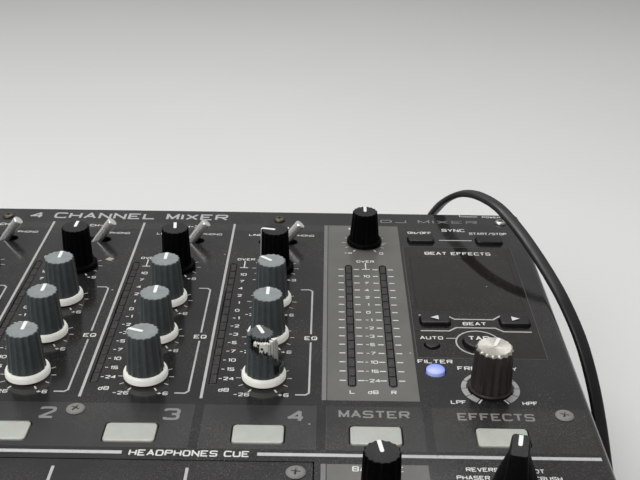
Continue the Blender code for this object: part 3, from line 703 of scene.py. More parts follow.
def make_coil_ties():
    """Two thin straps round the wound turns, each with its knot on top."""
    centre = middle("power_cord_coil")
    low_z, high_z = 0.0002, COIL_LAYERS[1] + CORD_THICKNESS / 2 + 0.0007
    inner, outer = COIL_INNER_TURN - 0.0034, COIL_OUTER_TURN + 0.0032
    middle_r, middle_z = (outer + inner) / 2, (low_z + high_z) / 2
    ties = []
    for name, turn in (("near", 0.30), ("far", -0.30)):
        bm = bmesh.new()
        outside, inside = [
            rounded(middle_r, middle_z, outer - inner - thin, high_z - low_z - thin, radius, 4)
            for thin, radius in ((0.0, 0.0022), (0.0010, 0.0017))
        ]
        loops = ((outside, -0.003), (outside, 0.003), (inside, 0.003), (inside, -0.003))
        add_layers(bm, [[(r, y, z) for r, z in loop] for loop, y in loops], wrap=True)
        add_block(bm, (middle_r + 0.00625, 0, high_z), (0.00225, 0.003, 0.0003), 0.0002)
        tie = make(f"cord_tie_{name}", bm, "moulded", 40, (centre.x, centre.y, 0), (0, 0, turn * math.pi))
        ties.append(settle(tie, "cord_jacket"))
    return ties


def ribs(count, start, step, radius, taper, marks):
    """Profile of a strain relief's ribs, each a little thinner than the one before."""
    profile = []
    for rib in range(count):
        z, r = start + step * rib, radius - taper * rib / count
        profile += [(r, z), (r, z + step * marks[0])] + [(r - 0.0008, z + step * mark) for mark in marks[1:]]
    return profile


def make_appliance_plug():
    low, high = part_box("appliance_plug")
    x, relief_y = middle("appliance_plug").x, CORD_ROUTE[0][1]
    top = low.z + 0.0190
    bm = bmesh.new()
    add_soft_box(bm, (low.x, REAR_HIGH.y + 0.0022, low.z), (high.x, high.y, top), 0.0012, 0, 0.003)
    nose_low, nose_high = (x - 0.0078, low.y, low.z + 0.0055), (x + 0.0078, REAR_HIGH.y + 0.004, top - 0.0055)
    add_soft_box(bm, nose_low, nose_high, 0.0008, 0, 0.0012)
    for y in (-0.0035, -0.0010, 0.0015, 0.0040):
        for side in (low.x, high.x):
            add_block(bm, (side, relief_y + y - 0.0039, (low.z + top) / 2), (0.0004, 0.0006, 0.0055), 0.0002)
    profile = ribs(6, top, (high.z - top - 0.004) / 6, 0.0053, 0.0016, (0.62, 0.70, 0.94))
    profile = [(0.0054, top - 0.001), *profile]
    profile += [(0.0036, high.z - 0.0038), (0.0034, high.z - 0.0004), (0.0030, high.z)]
    add_turned(bm, profile, 28, (x, relief_y))
    return build("plug_appliance_end", bm, "moulded", 35, "cord_jacket", "appliance_plug")


def make_mains_plug():
    """A moulded two-pin plug: waisted grip, ribbed relief, two flat pins with eyes."""
    low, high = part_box("mains_plug")
    x, _, z = middle("mains_plug")
    relief, body = 0.020, 0.030
    rear = high.y - relief
    front = rear - body
    width, height = high.x - low.x, high.z - low.z
    bm = bmesh.new()
    layers = []
    for step in range(13):
        t = step / 12
        waist = 1.0 - 0.13 * math.sin(math.pi * min(1.0, t * 1.15)) - 0.10 * t ** 3
        pinch = 0.90 if step in (0, 12) else 1.0
        outline = rounded(0, 0, width * waist * pinch, height * (0.86 + 0.14 * waist) * pinch, 0.0035, 4)
        layers.append([(x + px, front + body * t, z + pz) for px, pz in outline])
    add_layers(bm, layers)
    profile = ribs(7, -0.001, (relief - 0.003) / 7, 0.0052, 0.0013, (0.6, 0.7, 0.93))
    verts = add_turned(bm, [*profile, (0.0036, relief - 0.0036), (0.0034, relief)], 28)
    move(bm, verts, Matrix.Translation((x, rear, z)) @ Matrix.Rotation(-math.pi / 2, 4, "X"))
    for side in (-1, 1):
        for grip in range(4):
            y = front + 0.0107 + grip * 0.0032
            add_block(bm, (x + side * width / 2 * 0.885, y, z), (0.0006, 0.0007, 0.004), 0.0003)
        pin = x + side * 0.00635
        blade = rounded(front - 0.0082, z, 0.0175, 0.0063, 0.0010, 4)
        add_layers(bm, [[(pin + dx, y, pz) for y, pz in blade] for dx in (-0.00075, 0.00075)], 1)
    return build("plug_mains_end", bm, ("moulded", "jack"), 35, "cord_jacket", "mains_plug")


# ---------------------------------------------------------------- openings in the panel
KEYS = {
    **{f"cue_button_{n}": "milky" for n in (1, 2, 3, 4, "master", "effects")},
    **{f"{kind}_button_{side}": "key" for kind in ("sync", "beat") for side in ("left", "right")},
    "tap_button": "key",
    "auto_button": "key",
    "filter_button": "blue",
}
ROUND_KEYS = ("tap_button", "auto_button", "filter_button")
KEY_GAP = 0.0004
KNOBS = [node for node in AXIS if "knob" in node]
FADERS = [f"channel_fader_{n}" for n in (1, 2, 3, 4)] + ["crossfader"]


def key_outline(node, grow=0.0):
    x, y, width, length = plan(node)
    if node in ROUND_KEYS:
        return circle(x, y, width / 2 + grow - 0.0004 * (node == "auto_button"), 40)
    return rounded(x, y, width, length, 0.0013, grow=grow)


def lever_slot(column, grow=0.0):
    return rounded(column, LEVER_Y, 0.0180, 0.0054, 0.00269, 8, grow)


def meter_slot(x, grow=0.0):
    y, length = (METER_FRONT + METER_REAR) / 2, METER_REAR - METER_FRONT
    return rounded(x, y, METER_WIDTH, length, METER_WIDTH / 2 - 1e-5, 6, grow)


def window_outline(grow=0.0):
    (x, y, *_), size = plan("display_window"), extent("display_window")
    return rounded(x, y, size.x, size.y, 0.0012, 4, grow)


def panel_openings():
    """The outline of each opening, as a function of how far it grows."""
    openings = [lambda grow, n=node: key_outline(n, KEY_GAP + grow) for node in KEYS]
    openings += [lambda grow, x=x: lever_slot(x, grow) for x in COLUMNS]
    openings += [lambda grow, x=x: meter_slot(x, grow) for x in CHANNEL_METERS + MASTER_METERS]
    return openings + [lambda grow, c=AXIS[node]: circle(c.x, c.y, 0.0036 + grow, 24) for node in KNOBS]


def chamfered_cutter(openings, edge):
    """Every opening as a prism that flares where it leaves the sheet, which chamfers its rim."""
    bm = bmesh.new()
    for opening in openings:
        levels = ((0.0, TOP - 0.006), (0.0, TOP - edge), (3 * edge, TOP + 2 * edge))
        add_levels(bm, [(opening(grow), z) for grow, z in levels])
    return bm


BAND_GAPS = (DIVIDERS[3] + 0.0002, MASTER_SIDES[0] - 0.0020, MASTER_SIDES[1] + 0.0018)
BAND_GAP_HALF = 0.0016
PAINTS = ("panel", "band", "cue_band", "pale_band", "master", "overlay")


def zone_of(x, y):
    """Name of the paint at a place on the panel."""
    if CUE_BAND[0] < y < CUE_BAND[1]:
        if any(abs(x - gap) < BAND_GAP_HALF for gap in BAND_GAPS) or x < DIVIDERS[0]:
            return "panel"
        return "pale_band" if x > MASTER_SIDES[0] else "cue_band"
    in_master = MASTER_SIDES[0] < x < MASTER_SIDES[1]
    if in_master and (STRIP_FRONT < y < STRIP_REAR or y < LOWER_STRIP_REAR):
        return "master"
    if REAR_BAND_FRONT < y < STRIP_REAR and DIVIDERS[0] < x < DIVIDERS[4]:
        return "band"
    in_overlay = OVERLAY[0][0] < x < OVERLAY[1][0] and OVERLAY[0][1] < y < OVERLAY[1][1]
    return "overlay" if in_overlay else "panel"


def split_zones(bm):
    """Cuts the sheet along the borders of its painted zones and assigns the paints."""
    borders_x = [gap + side * BAND_GAP_HALF for gap in BAND_GAPS for side in (-1, 1)]
    borders_x += [DIVIDERS[0], DIVIDERS[4], *MASTER_SIDES, OVERLAY[0][0], OVERLAY[1][0]]
    borders_y = [*CUE_BAND, LOWER_STRIP_REAR, STRIP_FRONT, STRIP_REAR, REAR_BAND_FRONT]
    borders_y += [OVERLAY[0][1], OVERLAY[1][1]]
    cuts = [((x, 0, 0), (1, 0, 0)) for x in borders_x] + [((0, y, 0), (0, 1, 0)) for y in borders_y]
    for place, normal in cuts:
        geometry = bm.verts[:] + bm.edges[:] + bm.faces[:]
        bmesh.ops.bisect_plane(bm, geom=geometry, plane_co=place, plane_no=normal, dist=1e-6)
    for face in bm.faces:
        centre = face.calc_center_median()
        if centre.z > TOP - 1e-5:
            face.material_index = PAINTS.index(zone_of(centre.x, centre.y))


def quarter(steps):
    """Cosine and sine at even steps over a right angle."""
    angles = [i * math.pi / 2 / steps for i in range(steps + 1)]
    return [(math.cos(a), math.sin(a)) for a in angles]


def cover_sheet():
    """The cover's folded section, bent down at both sides, from its front to its rear."""
    half, bend = PANEL_HIGH.x, 0.0030
    outer = [(half, PANEL_LOW.z)] + [(half - bend + bend * c, TOP - bend + bend * s) for c, s in quarter(7)]
    outer += [(-x, z) for x, z in outer[::-1]]
    inside = [(SKIRT_INSIDE, TOP - SHEET), (SKIRT_INSIDE, PANEL_LOW.z)]
    section = [*outer, *[(-x, z) for x, z in inside[::-1]], *inside]
    bm = bmesh.new()
    add_layers(bm, [[(x, y, z) for x, z in section] for y in (PANEL_LOW.y, PANEL_HIGH.y)])
    bmesh.ops.recalc_face_normals(bm, faces=bm.faces)
    return bm


def corner_blocks():
    """What rounding takes off the cover's upright corners."""
    half, corner, over = PANEL_HIGH.x, 0.0026, 0.001
    bm = bmesh.new()
    for x, side in ((-half, 1), (half, -1)):
        for y, toward in ((PANEL_LOW.y, 1), (PANEL_HIGH.y, -1)):
            block = [(x - side * over, y - toward * over), (x - side * over, y + toward * corner)]
            block += [(x + side * corner * (1 - c), y + toward * corner * (1 - s)) for c, s in quarter(6)]
            block.append((x + side * corner, y - toward * over))
            add_prism(bm, block, PANEL_LOW.z - over, TOP + over)
    return bm


def make_panel():
    """The folded cover: bent side skirts, softened upright corners, painted zones and openings."""
    bm = cover_sheet()
    split_zones(bm)
    panel = make("cover", bm, PAINTS)
    cut(panel, corner_blocks())
    cut(panel, chamfered_cutter(panel_openings(), 0.00018))
    bm = bmesh.new()
    gap = Vector((0.0003, 0.0003, 0))
    low, high = PLATE_LOW - gap, PLATE_HIGH + gap
    add_box(bm, (low.x, low.y, TOP - 0.006), (high.x, high.y, TOP + 0.004))
    add_prism(bm, window_outline(0.00006), TOP - 0.006, TOP + 0.004)
    cut(panel, bm, 22)
    settle(panel, "panel_paint", "top_panel")


def make_front_skirt():
    bm, side, high_z = bmesh.new(), SKIRT_INSIDE + 0.0008, TOP - SHEET + 0.0005
    add_box(bm, (-side, PANEL_LOW.y, PANEL_LOW.z), (side, PANEL_LOW.y + 0.0015, high_z))
    settle(soften(make("cover_front_skirt", bm, "panel"), 0.0004), "panel_paint")


def make_fader_plate():
    """The plate over the faders, with its slots, and the dust strips under them."""
    (x, y, *_), (width, length, _) = plan("fader_plate"), extent("fader_plate")
    full, small = rounded(x, y, width, length, 0.0008, 3), rounded(x, y, width - 3e-4, length - 3e-4, 7e-4, 3)
    bm = bmesh.new()
    add_levels(bm, ((full, PLATE_LOW.z), (full, TOP - 0.00015), (small, TOP)))
    plate = make("fader_cover", bm, "plate", 30)
    travel = {j["child"]: j["range_m"] for j in frame["joints"] if "range_m" in j}
    slots = []
    for node in FADERS:
        (x, y, _), (start, end) = middle(node), travel[node]
        size = (0.0030, end - start + 0.006)
        slots.append((x, y, *size[::-1]) if node == "crossfader" else (x, y + (start + end) / 2, *size))
    cut(plate, chamfered_cutter([lambda grow, s=s: rounded(*s, 0.0012, 5, grow) for s in slots], 0.0002))
    settle(plate, "panel_paint", "fader_plate")
    bm = bmesh.new()
    low_z = TOP - SHEET - 0.0018
    for x, y, width, length in slots:
        reach_x, reach_y = width / 2 + 0.002, length / 2 + 0.002
        add_box(bm, (x - reach_x, y - reach_y, low_z), (x + reach_x, y + reach_y, low_z + 0.0003))
    settle(soften(make("fader_dust_strips", bm, "rubber"), 0.0001, 1), "moulded_black")


# ---------------------------------------------------------------- printing
PRINT_TOP = 0.00003
PRINT_BOTTOM = 0.000004
PRINTS = {}
# Letters as digit pairs (x, y): ~ marks a rounded line, o a rounded closed one.
GLYPHS = {
    "A": "002640 1232", "B": "0006 ~063646433303 ~033343403000", "C": "~4546260600204041",
    "D": "0006 ~062646402000", "E": "40000646 0333", "F": "000646 0333",
    "G": "~4546260600204041 414323", "H": "0006 4046 0343", "I": "0006", "J": "~4642400001",
    "K": "0006 0246 1340", "L": "060040", "M": "0006214640", "N": "00064046", "O": "o200006264640",
    "P": "0006 ~063646433303", "Q": "o200006264640 2240", "R": "0006 ~063646433303 2340",
    "S": "~4546260603234340200001", "T": "0646 2620", "U": "~06020020404246", "V": "062046",
    "W": "0610243046", "X": "0640 0046", "Y": "062346 2320", "Z": "06460040",
    "0": "o200006264640", "1": "152620", "2": "~05062646443300 0040",
    "3": "~050626464323 ~234340200001", "4": "3036 360242", "5": "460603 ~03234340200001",
    "6": "~45462606002040432303", "7": "064610", "8": "o230306264643 o230300204043",
    "9": "~01002040462606032343", "-": "0333", "+": "0343 2125", "/": "0046", " ": "",
    "d": "3036 ~341404001030", "∞": "o02042422 o22244442",
}


def soften_line(points, closed):
    """Rounds a line's corners by cutting each of them twice."""
    for _ in range(2):
        ends = points[1:] + points[:1] if closed else points[1:]
        cuts = [a.lerp(b, t) for a, b in zip(points, ends) for t in (0.25, 0.75)]
        points = cuts if closed else [points[0], *cuts, points[-1]]
    return points


def glyph(letter):
    """Lines of a letter on a grid 4 wide and 6 high, and whether each is closed."""
    lines = []
    for code in GLYPHS[letter].split():
        digits = code.strip("~o")
        points = [Vector((int(a), int(b))) for a, b in zip(digits[::2], digits[1::2])]
        closed = code[0] == "o"
        lines.append((soften_line(points, closed) if code[0] in "~o" else points, closed))
    return lines


def word(text, x, y, cap, wide=1.3, width=None, ink="white_ink", z=None):
    """Prints a word centred on (x, y) in lines of even width. cap is its capital height."""
    lines, pen, space = [], 0.0, 1.75
    for letter in text:
        drawn = glyph(letter)
        right = max([p.x for points, _ in drawn for p in points], default=1.6)
        lines += [([(p.x + pen, p.y) for p in points], closed) for points, closed in drawn]
        pen += right + space
    span = pen - space
    weight = cap * 0.185
    scale_y = (cap - weight) / 6
    scale_x = (width - weight) / span if width else scale_y * wide
    for points, closed in lines:
        placed = [(x + (px - span / 2) * scale_x, y + (py - 3) * scale_y) for px, py in points]
        stroke(ink, placed, weight, closed, z)


def words(x, y, *rows, **style):
    """Words round a place, as (text, right, rearwards, capital height) with lengths in millimetres."""
    for text, dx, dy, cap in rows:
        word(text, x + dx / 1000, y + dy / 1000, cap / 1000, **style)


def patch(ink, outline, z=None):
    """A printed area. Its height steps by a micron or so, so that crossing areas don't shade each other."""
    if ink not in PRINTS:
        PRINTS[ink] = bmesh.new()
    bm = PRINTS[ink]
    base = (TOP if z is None else z) + 0.0000012 * (len(bm.verts) // 8 % 13)
    add_prism(bm, outline, base + PRINT_BOTTOM, base + PRINT_TOP)


def bar(ink, x0, y0, x1, y1):
    patch(ink, ((x0, y0), (x1, y0), (x1, y1), (x0, y1)))


def upright(ink, x, half, y0, y1):
    bar(ink, x - half, y0, x + half, y1)


def stroke(ink, points, width, closed=False, z=None):
    """A printed line of even width: a strip for each part, long enough to fill its corners."""
    points = [Vector(p) for p in points]
    if closed:
        points.append(points[0])
    ways = [(b - a).normalized() for a, b in zip(points[:-1], points[1:])]
    befores = (ways[-1:] if closed else [None]) + ways
    afters = ways[1:] + (ways[:1] if closed else [None])
    for a, b, before, way, after in zip(points[:-1], points[1:], befores, ways, afters):
        turns = [abs(way.angle(other)) if other else 0.0 for other in (before, after)]
        back, ahead = [width / 2 * min(math.tan(min(turn, 2.6) / 2), 1.2) for turn in turns]
        side = Vector((-way.y, way.x)) * width / 2
        start, end = a - way * back, b + way * ahead
        patch(ink, (start - side, end - side, end + side, start + side), z)


def across(ink, x, y, near, far, width):
    """A short stroke along X between two distances from a place."""
    stroke(ink, [(x + near, y), (x + far, y)], width)


def clock(x, y, radius, degrees):
    """The point at a clockwise angle from the rear."""
    a = math.radians(degrees)
    return x + radius * math.sin(a), y + radius * math.cos(a)


def arc(x, y, radius, start, end, steps):
    return [clock(x, y, radius, start + (end - start) * i / steps) for i in range(steps + 1)]


def tick(ink, x, y, near, far, degrees, width):
    stroke(ink, (clock(x, y, near, degrees), clock(x, y, far, degrees)), width)


def dial(x, y, low_text, high_text):
    """Scale round a knob: a tick every 30 degrees, and its end values."""
    for degrees in range(-150, 151, 30):
        ink, width = ("white_ink", 0.00062) if abs(degrees) == 150 else ("silver_ink", 0.00042)
        tick(ink, x, y, 0.0084, 0.0102, degrees, width)
    words(x, y, (low_text, -7.5, -10.4, 2.1), (high_text, 7.4, -10.4, 2.1))


def print_levels(x, over_x, over_y, stem_y, extra=None):
    """Numbers of a level meter, with the mark and the word over them."""
    word("OVER", over_x, METER_REAR + over_y, 0.0020)
    top = FIRST_SEGMENT_Y + 0.0002
    stroke("white_ink", [(x, METER_REAR + stem_y), (x, top)], 0.0005)
    across("white_ink", x, top, -0.0018, 0.0018, 0.0005)
    for step, text in enumerate(LEVELS):
        y = FIRST_SEGMENT_Y - step * SEGMENT_PITCH
        if text:
            word(text, x, y, 0.0021)
        if extra:
            extra(y)


def print_channel(column, meter, number):
    word(f"CH-{number}", column + 0.0005, STRIP_REAR - 0.0035, 0.0023)
    words(column, LEVER_Y, ("LINE", -10.8, 6.7, 1.9), ("PHONO", 11.8, 6.7, 1.9))
    dial(column, ROWS["trim"], "-∞", "+9")
    for row in ("eq_high", "eq_mid", "eq_low"):
        dial(column, ROWS[row], "-26", "+6")
    rail, stub, bend, y = column + 0.0166, column + 0.0117, 0.0012, ROWS["eq_mid"] - 0.0003
    for side, end in ((1, ROWS["eq_high"] + 0.0104), (-1, ROWS["eq_low"] - 0.0101)):
        line = [(rail, y + side * 0.0030), (rail, end - side * bend), (rail - bend, end), (stub, end)]
        stroke("silver_ink", line, 0.0007)
    word("EQ", rail, y, 0.0026)
    print_levels(meter + 0.0047, meter + 0.0051, 0.0039, 0.0024)
    word("dB", meter + 0.0044, METER_FRONT - 0.0030, 0.0022)
    word(str(number), column + 0.0126, CUE_BAND[1] - 0.0060, 0.0066, 1.25, ink="grey_ink")


def print_master():
    def rungs(y):
        for x in MASTER_METERS:
            for side in (-1, 1):
                across("white_ink", x, y, side * 0.0022, side * 0.0045, 0.0006)

    word("MASTER", MASTER_X, STRIP_REAR - 0.0035, 0.0023)
    dial(MASTER_X, AXIS["master_level_knob"].y, "-∞", "0")
    print_levels(MASTER_X, MASTER_X, 0.0035, 0.0020, rungs)
    left, right = MASTER_METERS
    for text, x in (("L", left), ("dB", MASTER_X), ("R", right)):
        word(text, x, METER_FRONT - 0.0031, 0.0022)
    word("MASTER", MASTER_X - 0.0002, CUE_BAND[1] - 0.0045, 0.0042, width=0.0246, ink="grey_ink")
    y = AXIS["balance_knob"].y
    word("BALANCE", MASTER_X, y + 0.0151, 0.0026, width=0.0166)
    dial(MASTER_X, y, "L", "R")


def print_beat_effects():
    """The frame round the window with its keys' labels, and the lines between the keys."""
    (left, y, _), right = middle("sync_button_left"), middle("sync_button_right").x
    word("ON/OFF", left, y + 0.0077, 0.0023, width=0.0112)
    word("SYNC", EFFECTS_X + 0.0001, y + 0.0108, 0.0030, 1.2)
    word("START/STOP", right + 0.0006, y + 0.0077, 0.0023, width=0.0176)
    across("silver_ink", EFFECTS_X, y + 0.0003, -0.0075, 0.0077, 0.0007)
    (x0, y0), (x1, y1) = OVERLAY
    stroke("line_ink", [(x0, y0), (x1, y0), (x1, y1), (x0, y1)], 0.0003, closed=True)
    word("BEAT EFFECTS", EFFECTS_X - 0.0004, WINDOW_HIGH.y + 0.0044, 0.0028, width=0.0298)
    x, y = EFFECTS_X - 0.0002, middle("beat_button_left").y
    for side, depth, waist in ((1, 4.5, 1.6), (-1, 7.4, 4.8)):
        line = mm((-21.9, depth), (-10.6, depth), (-7.6, waist), (7.9, waist), (10.9, depth), (21.9, depth))
        stroke("silver_ink", [(x + dx, y + side * dy) for dx, dy in line], 0.0007)
    word("BEAT", x, y - 0.0017, 0.0024)
    tap, auto = middle("tap_button"), middle("auto_button")
    stroke("silver_ink", arc(tap.x, tap.y, 0.0086, 0, 351, 39), 0.0006, closed=True)
    stroke("silver_ink", [(auto.x + 0.0059, auto.y + 0.0049), (tap.x - 0.0083, auto.y + 0.0049)], 0.0005)
    words(auto.x, auto.y, ("AUTO", 0.2, 5.1, 2.3))
    words(*middle("filter_button").xy, ("FILTER", 0.4, 6.3, 2.5))


def print_frequency():
    """A scale that grows thicker towards both ends."""
    x, y, _ = AXIS["frequency_knob"]
    word("FREQUENCY", x + 0.0006, y + 0.0127, 0.0025, width=0.0222)
    words(x, y, ("LPF", -12.4, -8.6, 2.2), ("HPF", 12.8, -8.8, 2.2), wide=1.1)
    for side in (-1, 1):
        tick("white_ink", x, y, 0.0080, 0.0106, side * 150, 0.0006)
        for part in range(5):
            start, near = 145 - part * 28, 0.0079 + 0.00042 * part
            inner, outer = [arc(x, y, r, side * start, side * (start - 26), 6) for r in (near, 0.0105)]
            patch("dial_ink", inner + outer[::-1])


def print_selector():
    """Names of the effects round their selector."""
    word("EFFECTS", EFFECTS_X - 0.0004, CUE_BAND[1] - 0.0050, 0.0042, width=0.0266, ink="grey_ink")
    x, y, _ = AXIS["effect_selector_knob"]
    names = (("REVERB", -8.3, 12.0), ("PHASER", -11.7, 8.0), ("ROBOT", 7.2, 11.6), ("CRUSH", 12.2, 8.0),
             ("DELAY", -15.0, 3.6), ("ROLL", 16.0, 3.6), ("ECHO", -16.0, -1.2), ("FLANGER", 17.2, -1.2))
    words(x, y, *[(*name, 2.0) for name in names], wide=1.15)
    for degrees in range(-135, 136, 27):
        tick("silver_ink", x, y, 0.0086, 0.0098, degrees, 0.0005)


def print_key_marks():
    """Arrows on the BEAT keys and the word on the TAP key, which ride on their keys."""
    for node, side in (("beat_button_left", -1), ("beat_button_right", 1)):
        (x, y, _), face = middle(node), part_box(node)[1].z + 0.00002
        outline = [(x - side * 0.0013, y - 0.0016), (x + side * 0.0019, y), (x - side * 0.0013, y + 0.0016)]
        patch(f"white_ink@{node}", outline[::side], face)
    tap, face = middle("tap_button"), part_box("tap_button")[1].z + 0.00002
    word("TAP", tap.x, tap.y + 0.0002, 0.0029, 1.25, ink="white_ink@tap_button", z=face)


def print_lines():
    """Strip dividers, the white bar across the panel and the small notes along the rear edge."""
    for x in DIVIDERS[:4]:
        upright("silver_ink", x, 0.0005, STRIP_FRONT, STRIP_REAR)
    edge_x = DIVIDERS[4] + 0.0003
    upright("divider_ink", edge_x, 0.0008, STRIP_FRONT, STRIP_REAR)
    y, end = PLATE_HIGH.y + 0.0037, PANEL_HIGH.x - 0.0033
    bar("bar_ink", -end, y - 0.0008, 0.0, y + 0.0008)
    bar("bar_ink", 0.0443, y - 0.0008, end, y + 0.0008)
    word("HEADPHONES CUE", 0.0221, y - 0.0001, 0.0031, width=0.0395)
    for x in DIVIDERS[1:4]:
        upright("silver_ink", x, 0.0005, -0.0640, -0.0034)
    upright("divider_ink", edge_x, 0.0008, -0.1750, LOWER_STRIP_REAR)
    y = PANEL_HIGH.y
    word("4 CHANNEL MIXER", -0.0290, y - 0.0068, 0.0062, width=0.0950, ink="logo_ink")
    word("DJ MIXER", 0.1152, y - 0.0084, 0.0032, width=0.0465, ink="grey_ink")
    x = middle("power_switch").x
    word("POWER", x + 0.0152, y - 0.0022, 0.0018)
    stroke("white_ink", [(x + 0.0085, y - 0.0020), (x, y - 0.0020), (x, y - 0.0004)], 0.0005)


def print_flakes():
    """Dried flakes and smears left on the panel, as (x, y, size, shape) in millimetres."""
    flakes = ((-30.0, 138.0, 2.3, 0), (91.5, 156.0, 1.7, 2), (-23.6, 110.5, 0.6, 1), (20.5, 144.0, 0.5, 4),
              (134.5, 118.0, 0.4, 3), (61.0, 20.5, 0.5, 5), (98.5, 65.5, 0.6, 6), (2.0, 61.0, 0.4, 7))
    for x, y, size, seed in flakes:
        outline = []
        for i in range(11):
            a = 2 * math.pi * i / 11
            r = size * (0.75 + 0.25 * math.sin(i * 2.3 + seed) + 0.12 * math.sin(i * 4.1 + seed))
            outline.append((x + r * math.cos(a), y + 0.8 * r * math.sin(a)))
        patch("flake_ink", mm(*outline))


def print_faders():
    for number, column in enumerate(COLUMNS, 1):
        for step in range(11):
            y = middle(f"channel_fader_{number}").y + 0.060 * step / 10
            ink, reach = ("silver_ink", 0.0086) if step % 5 else ("white_ink", 0.0098)
            for side in (-1, 1):
                across(ink, column, y, side * 0.0062, side * reach, 0.0005)
            if step % 5 == 0:
                word(str(step), column + 0.0122, y, 0.0021)
    cross = middle("crossfader")
    for step in range(11):
        x, reach = cross.x + 0.045 * (step / 10 - 0.5), 0.0084 if step % 5 else 0.0098
        for side in (1, -1):
            stroke("silver_ink", [(x, cross.y + side * 0.0062), (x, cross.y + side * reach)], 0.0005)
    words(cross.x, cross.y, ("A", -33.0, 0, 3.4), ("B", 33.0, 0, 3.4))


def finish_print():
    """One piece for each ink. An ink named ink@node rides on that node."""
    for name, bm in sorted(PRINTS.items()):
        finish, _, node = name.partition("@")
        if node == "rear":
            move(bm, bm.verts[:], TO_REAR)
        piece = make(f"print_{finish}_{node or 'panel'}", bm, finish)
        settle(piece, "panel_paint", body=node if node in frame["bodies"] else "root")


# ---------------------------------------------------------------- knobs
FLUTES = 16
FLUTE_STEPS = 6
TORN_KNOB = "eq_low_knob_4"
# Closed outline of the ivory ring: upright lip, fine groove, and a shoulder that rises inwards.
SKIRT = mm((6.00, 0.50), (7.85, 0.40), (8.08, 0.60), (8.10, 1.35), (8.00, 1.46), (8.00, 1.58), (8.08, 1.68),
           (8.02, 2.15), (7.78, 2.70), (7.38, 3.20), (7.08, 3.38), (6.94, 3.32), (6.84, 3.00), (6.60, 2.80),
           (6.00, 2.80))


def fluted(radius, depth, z, flutes=FLUTES):
    """A ring of points whose outline waves between rounded ridges and hollows."""
    count = flutes * FLUTE_STEPS
    points = []
    for i in range(count):
        a = 2 * math.pi * i / count
        r = radius - depth * (0.5 + 0.5 * math.cos(flutes * a)) ** 0.8
        points.append((r * math.cos(a), r * math.sin(a), z))
    return points


def add_pointer(bm, path, half_width, depth, paint):
    """An inlaid line that follows path = ((distance from the axis, z), ...) from its round tip."""
    (tip_y, tip_z), tip_steps = path[0], 4
    stations = []
    for i in range(tip_steps + 1):
        a = math.pi / 2 * i / tip_steps
        stations.append((tip_y + half_width * (1 - math.cos(a)), tip_z, half_width * max(math.sin(a), 0.15)))
    stations += [(y, z, half_width) for y, z in path[1:]]
    layers = []
    for before, (y, z, half), after in zip(stations[:1] + stations, stations, stations[1:] + stations[-1:]):
        way = Vector((after[0] - before[0], after[1] - before[1])).normalized()
        inner_y, inner_z = y + way.y * depth, z - way.x * depth
        slim = half * 0.9
        layers.append([(-half, y, z), (half, y, z), (slim, inner_y, inner_z), (-slim, inner_y, inner_z)])
    add_layers(bm, layers, paint)


def raised_pointer(bm, head, high, paint, end=None):
    """A white inlay from the middle of a knob's top, over its rim and down its side to its end."""
    top = high + 0.00012
    path = [(-0.0002, top), (head - 0.0004, top), (head + 0.00035, top - 0.0004)]
    add_pointer(bm, [*path, end or (head + 0.0005, top - 0.0024)], 0.00066, 0.0005, paint)


def add_body(bm, low, high, foot, head, depth, edge=0.00025):
    """A fluted, slightly tapering knob body with a softened top edge."""
    rise = high - edge - low
    layers = [fluted(foot + (head - foot) * i / 5, depth, low + rise * i / 5) for i in range(6)]
    layers += [fluted(head - edge * 0.3, depth, high - edge * 0.3), fluted(head - edge, depth, high)]
    add_layers(bm, layers)


def add_lid(bm, head, high, depth, paint):
    """The slightly dished top face, inside the knob's rim, in its own paint; the knobs give it a lighter copy
    of the body's finish, a painted lit top.
    """
    rings = [(head - 0.0003, depth, high - 0.0003), (head - 0.0003, depth, high + 0.00006),
             (head * 0.84, 0.0, high + 0.00002)]
    add_layers(bm, [fluted(*ring) for ring in rings], paint)


def add_stem(bm, paint=0):
    """The shaft that reaches down through the panel."""
    add_turned(bm, [(0.0030, 0.0843 - KNOB_BASE), (0.0030, 0.0004)], 20, paint=paint)


def add_gap(bm, paint):
    """A near-black cylinder between the ivory ring and the body, painted shade in the gap between them, and
    the shaft.
    """
    add_turned(bm, [(0.0058, 0.0006), (0.0058, 0.0034)], 32, paint=paint)
    add_stem(bm, paint)


def eq_knob_mesh():
    bm = bmesh.new()
    add_body(bm, 0.0030, 0.0188, 0.00685, 0.00590, 0.00042)
    # The lid takes the lighter slate top finish: a painted lit top over the darker slate sides.
    add_lid(bm, 0.0059, 0.0188, 0.00042, 4)
    add_turned(bm, SKIRT, 64, paint=1, wrap=True)
    raised_pointer(bm, 0.0059, 0.0188, 2)
    add_gap(bm, 3)
    return pattern("eq_knob_pattern", bm, ("slate", "ivory", "pointer", "hole", "slate_painted_lit_top"), 28)


def dark_knob_mesh(foot=0.0063, head=0.0058, high=0.0185):
    """A black knob with a thin flange at its foot."""
    bm = bmesh.new()
    add_body(bm, 0.0016, high, foot, head, 0.00040)
    # The lid takes the lighter black top finish: a painted lit top over the darker black sides.
    add_lid(bm, head, high, 0.00040, 3)
    flange = mm((5.8, 0.0), (7.8, 0.0), (8.0, 0.2), (8.0, 1.2), (7.7, 1.7), (6.9, 2.0), (6.1, 2.1))
    add_turned(bm, flange, 64, wrap=True)
    raised_pointer(bm, head, high, 1, (foot + 0.0002, 0.0030))
    add_stem(bm, 2)
    return pattern("dark_knob_pattern", bm, ("black", "pointer", "hole", "black_painted_lit_top"), 28)


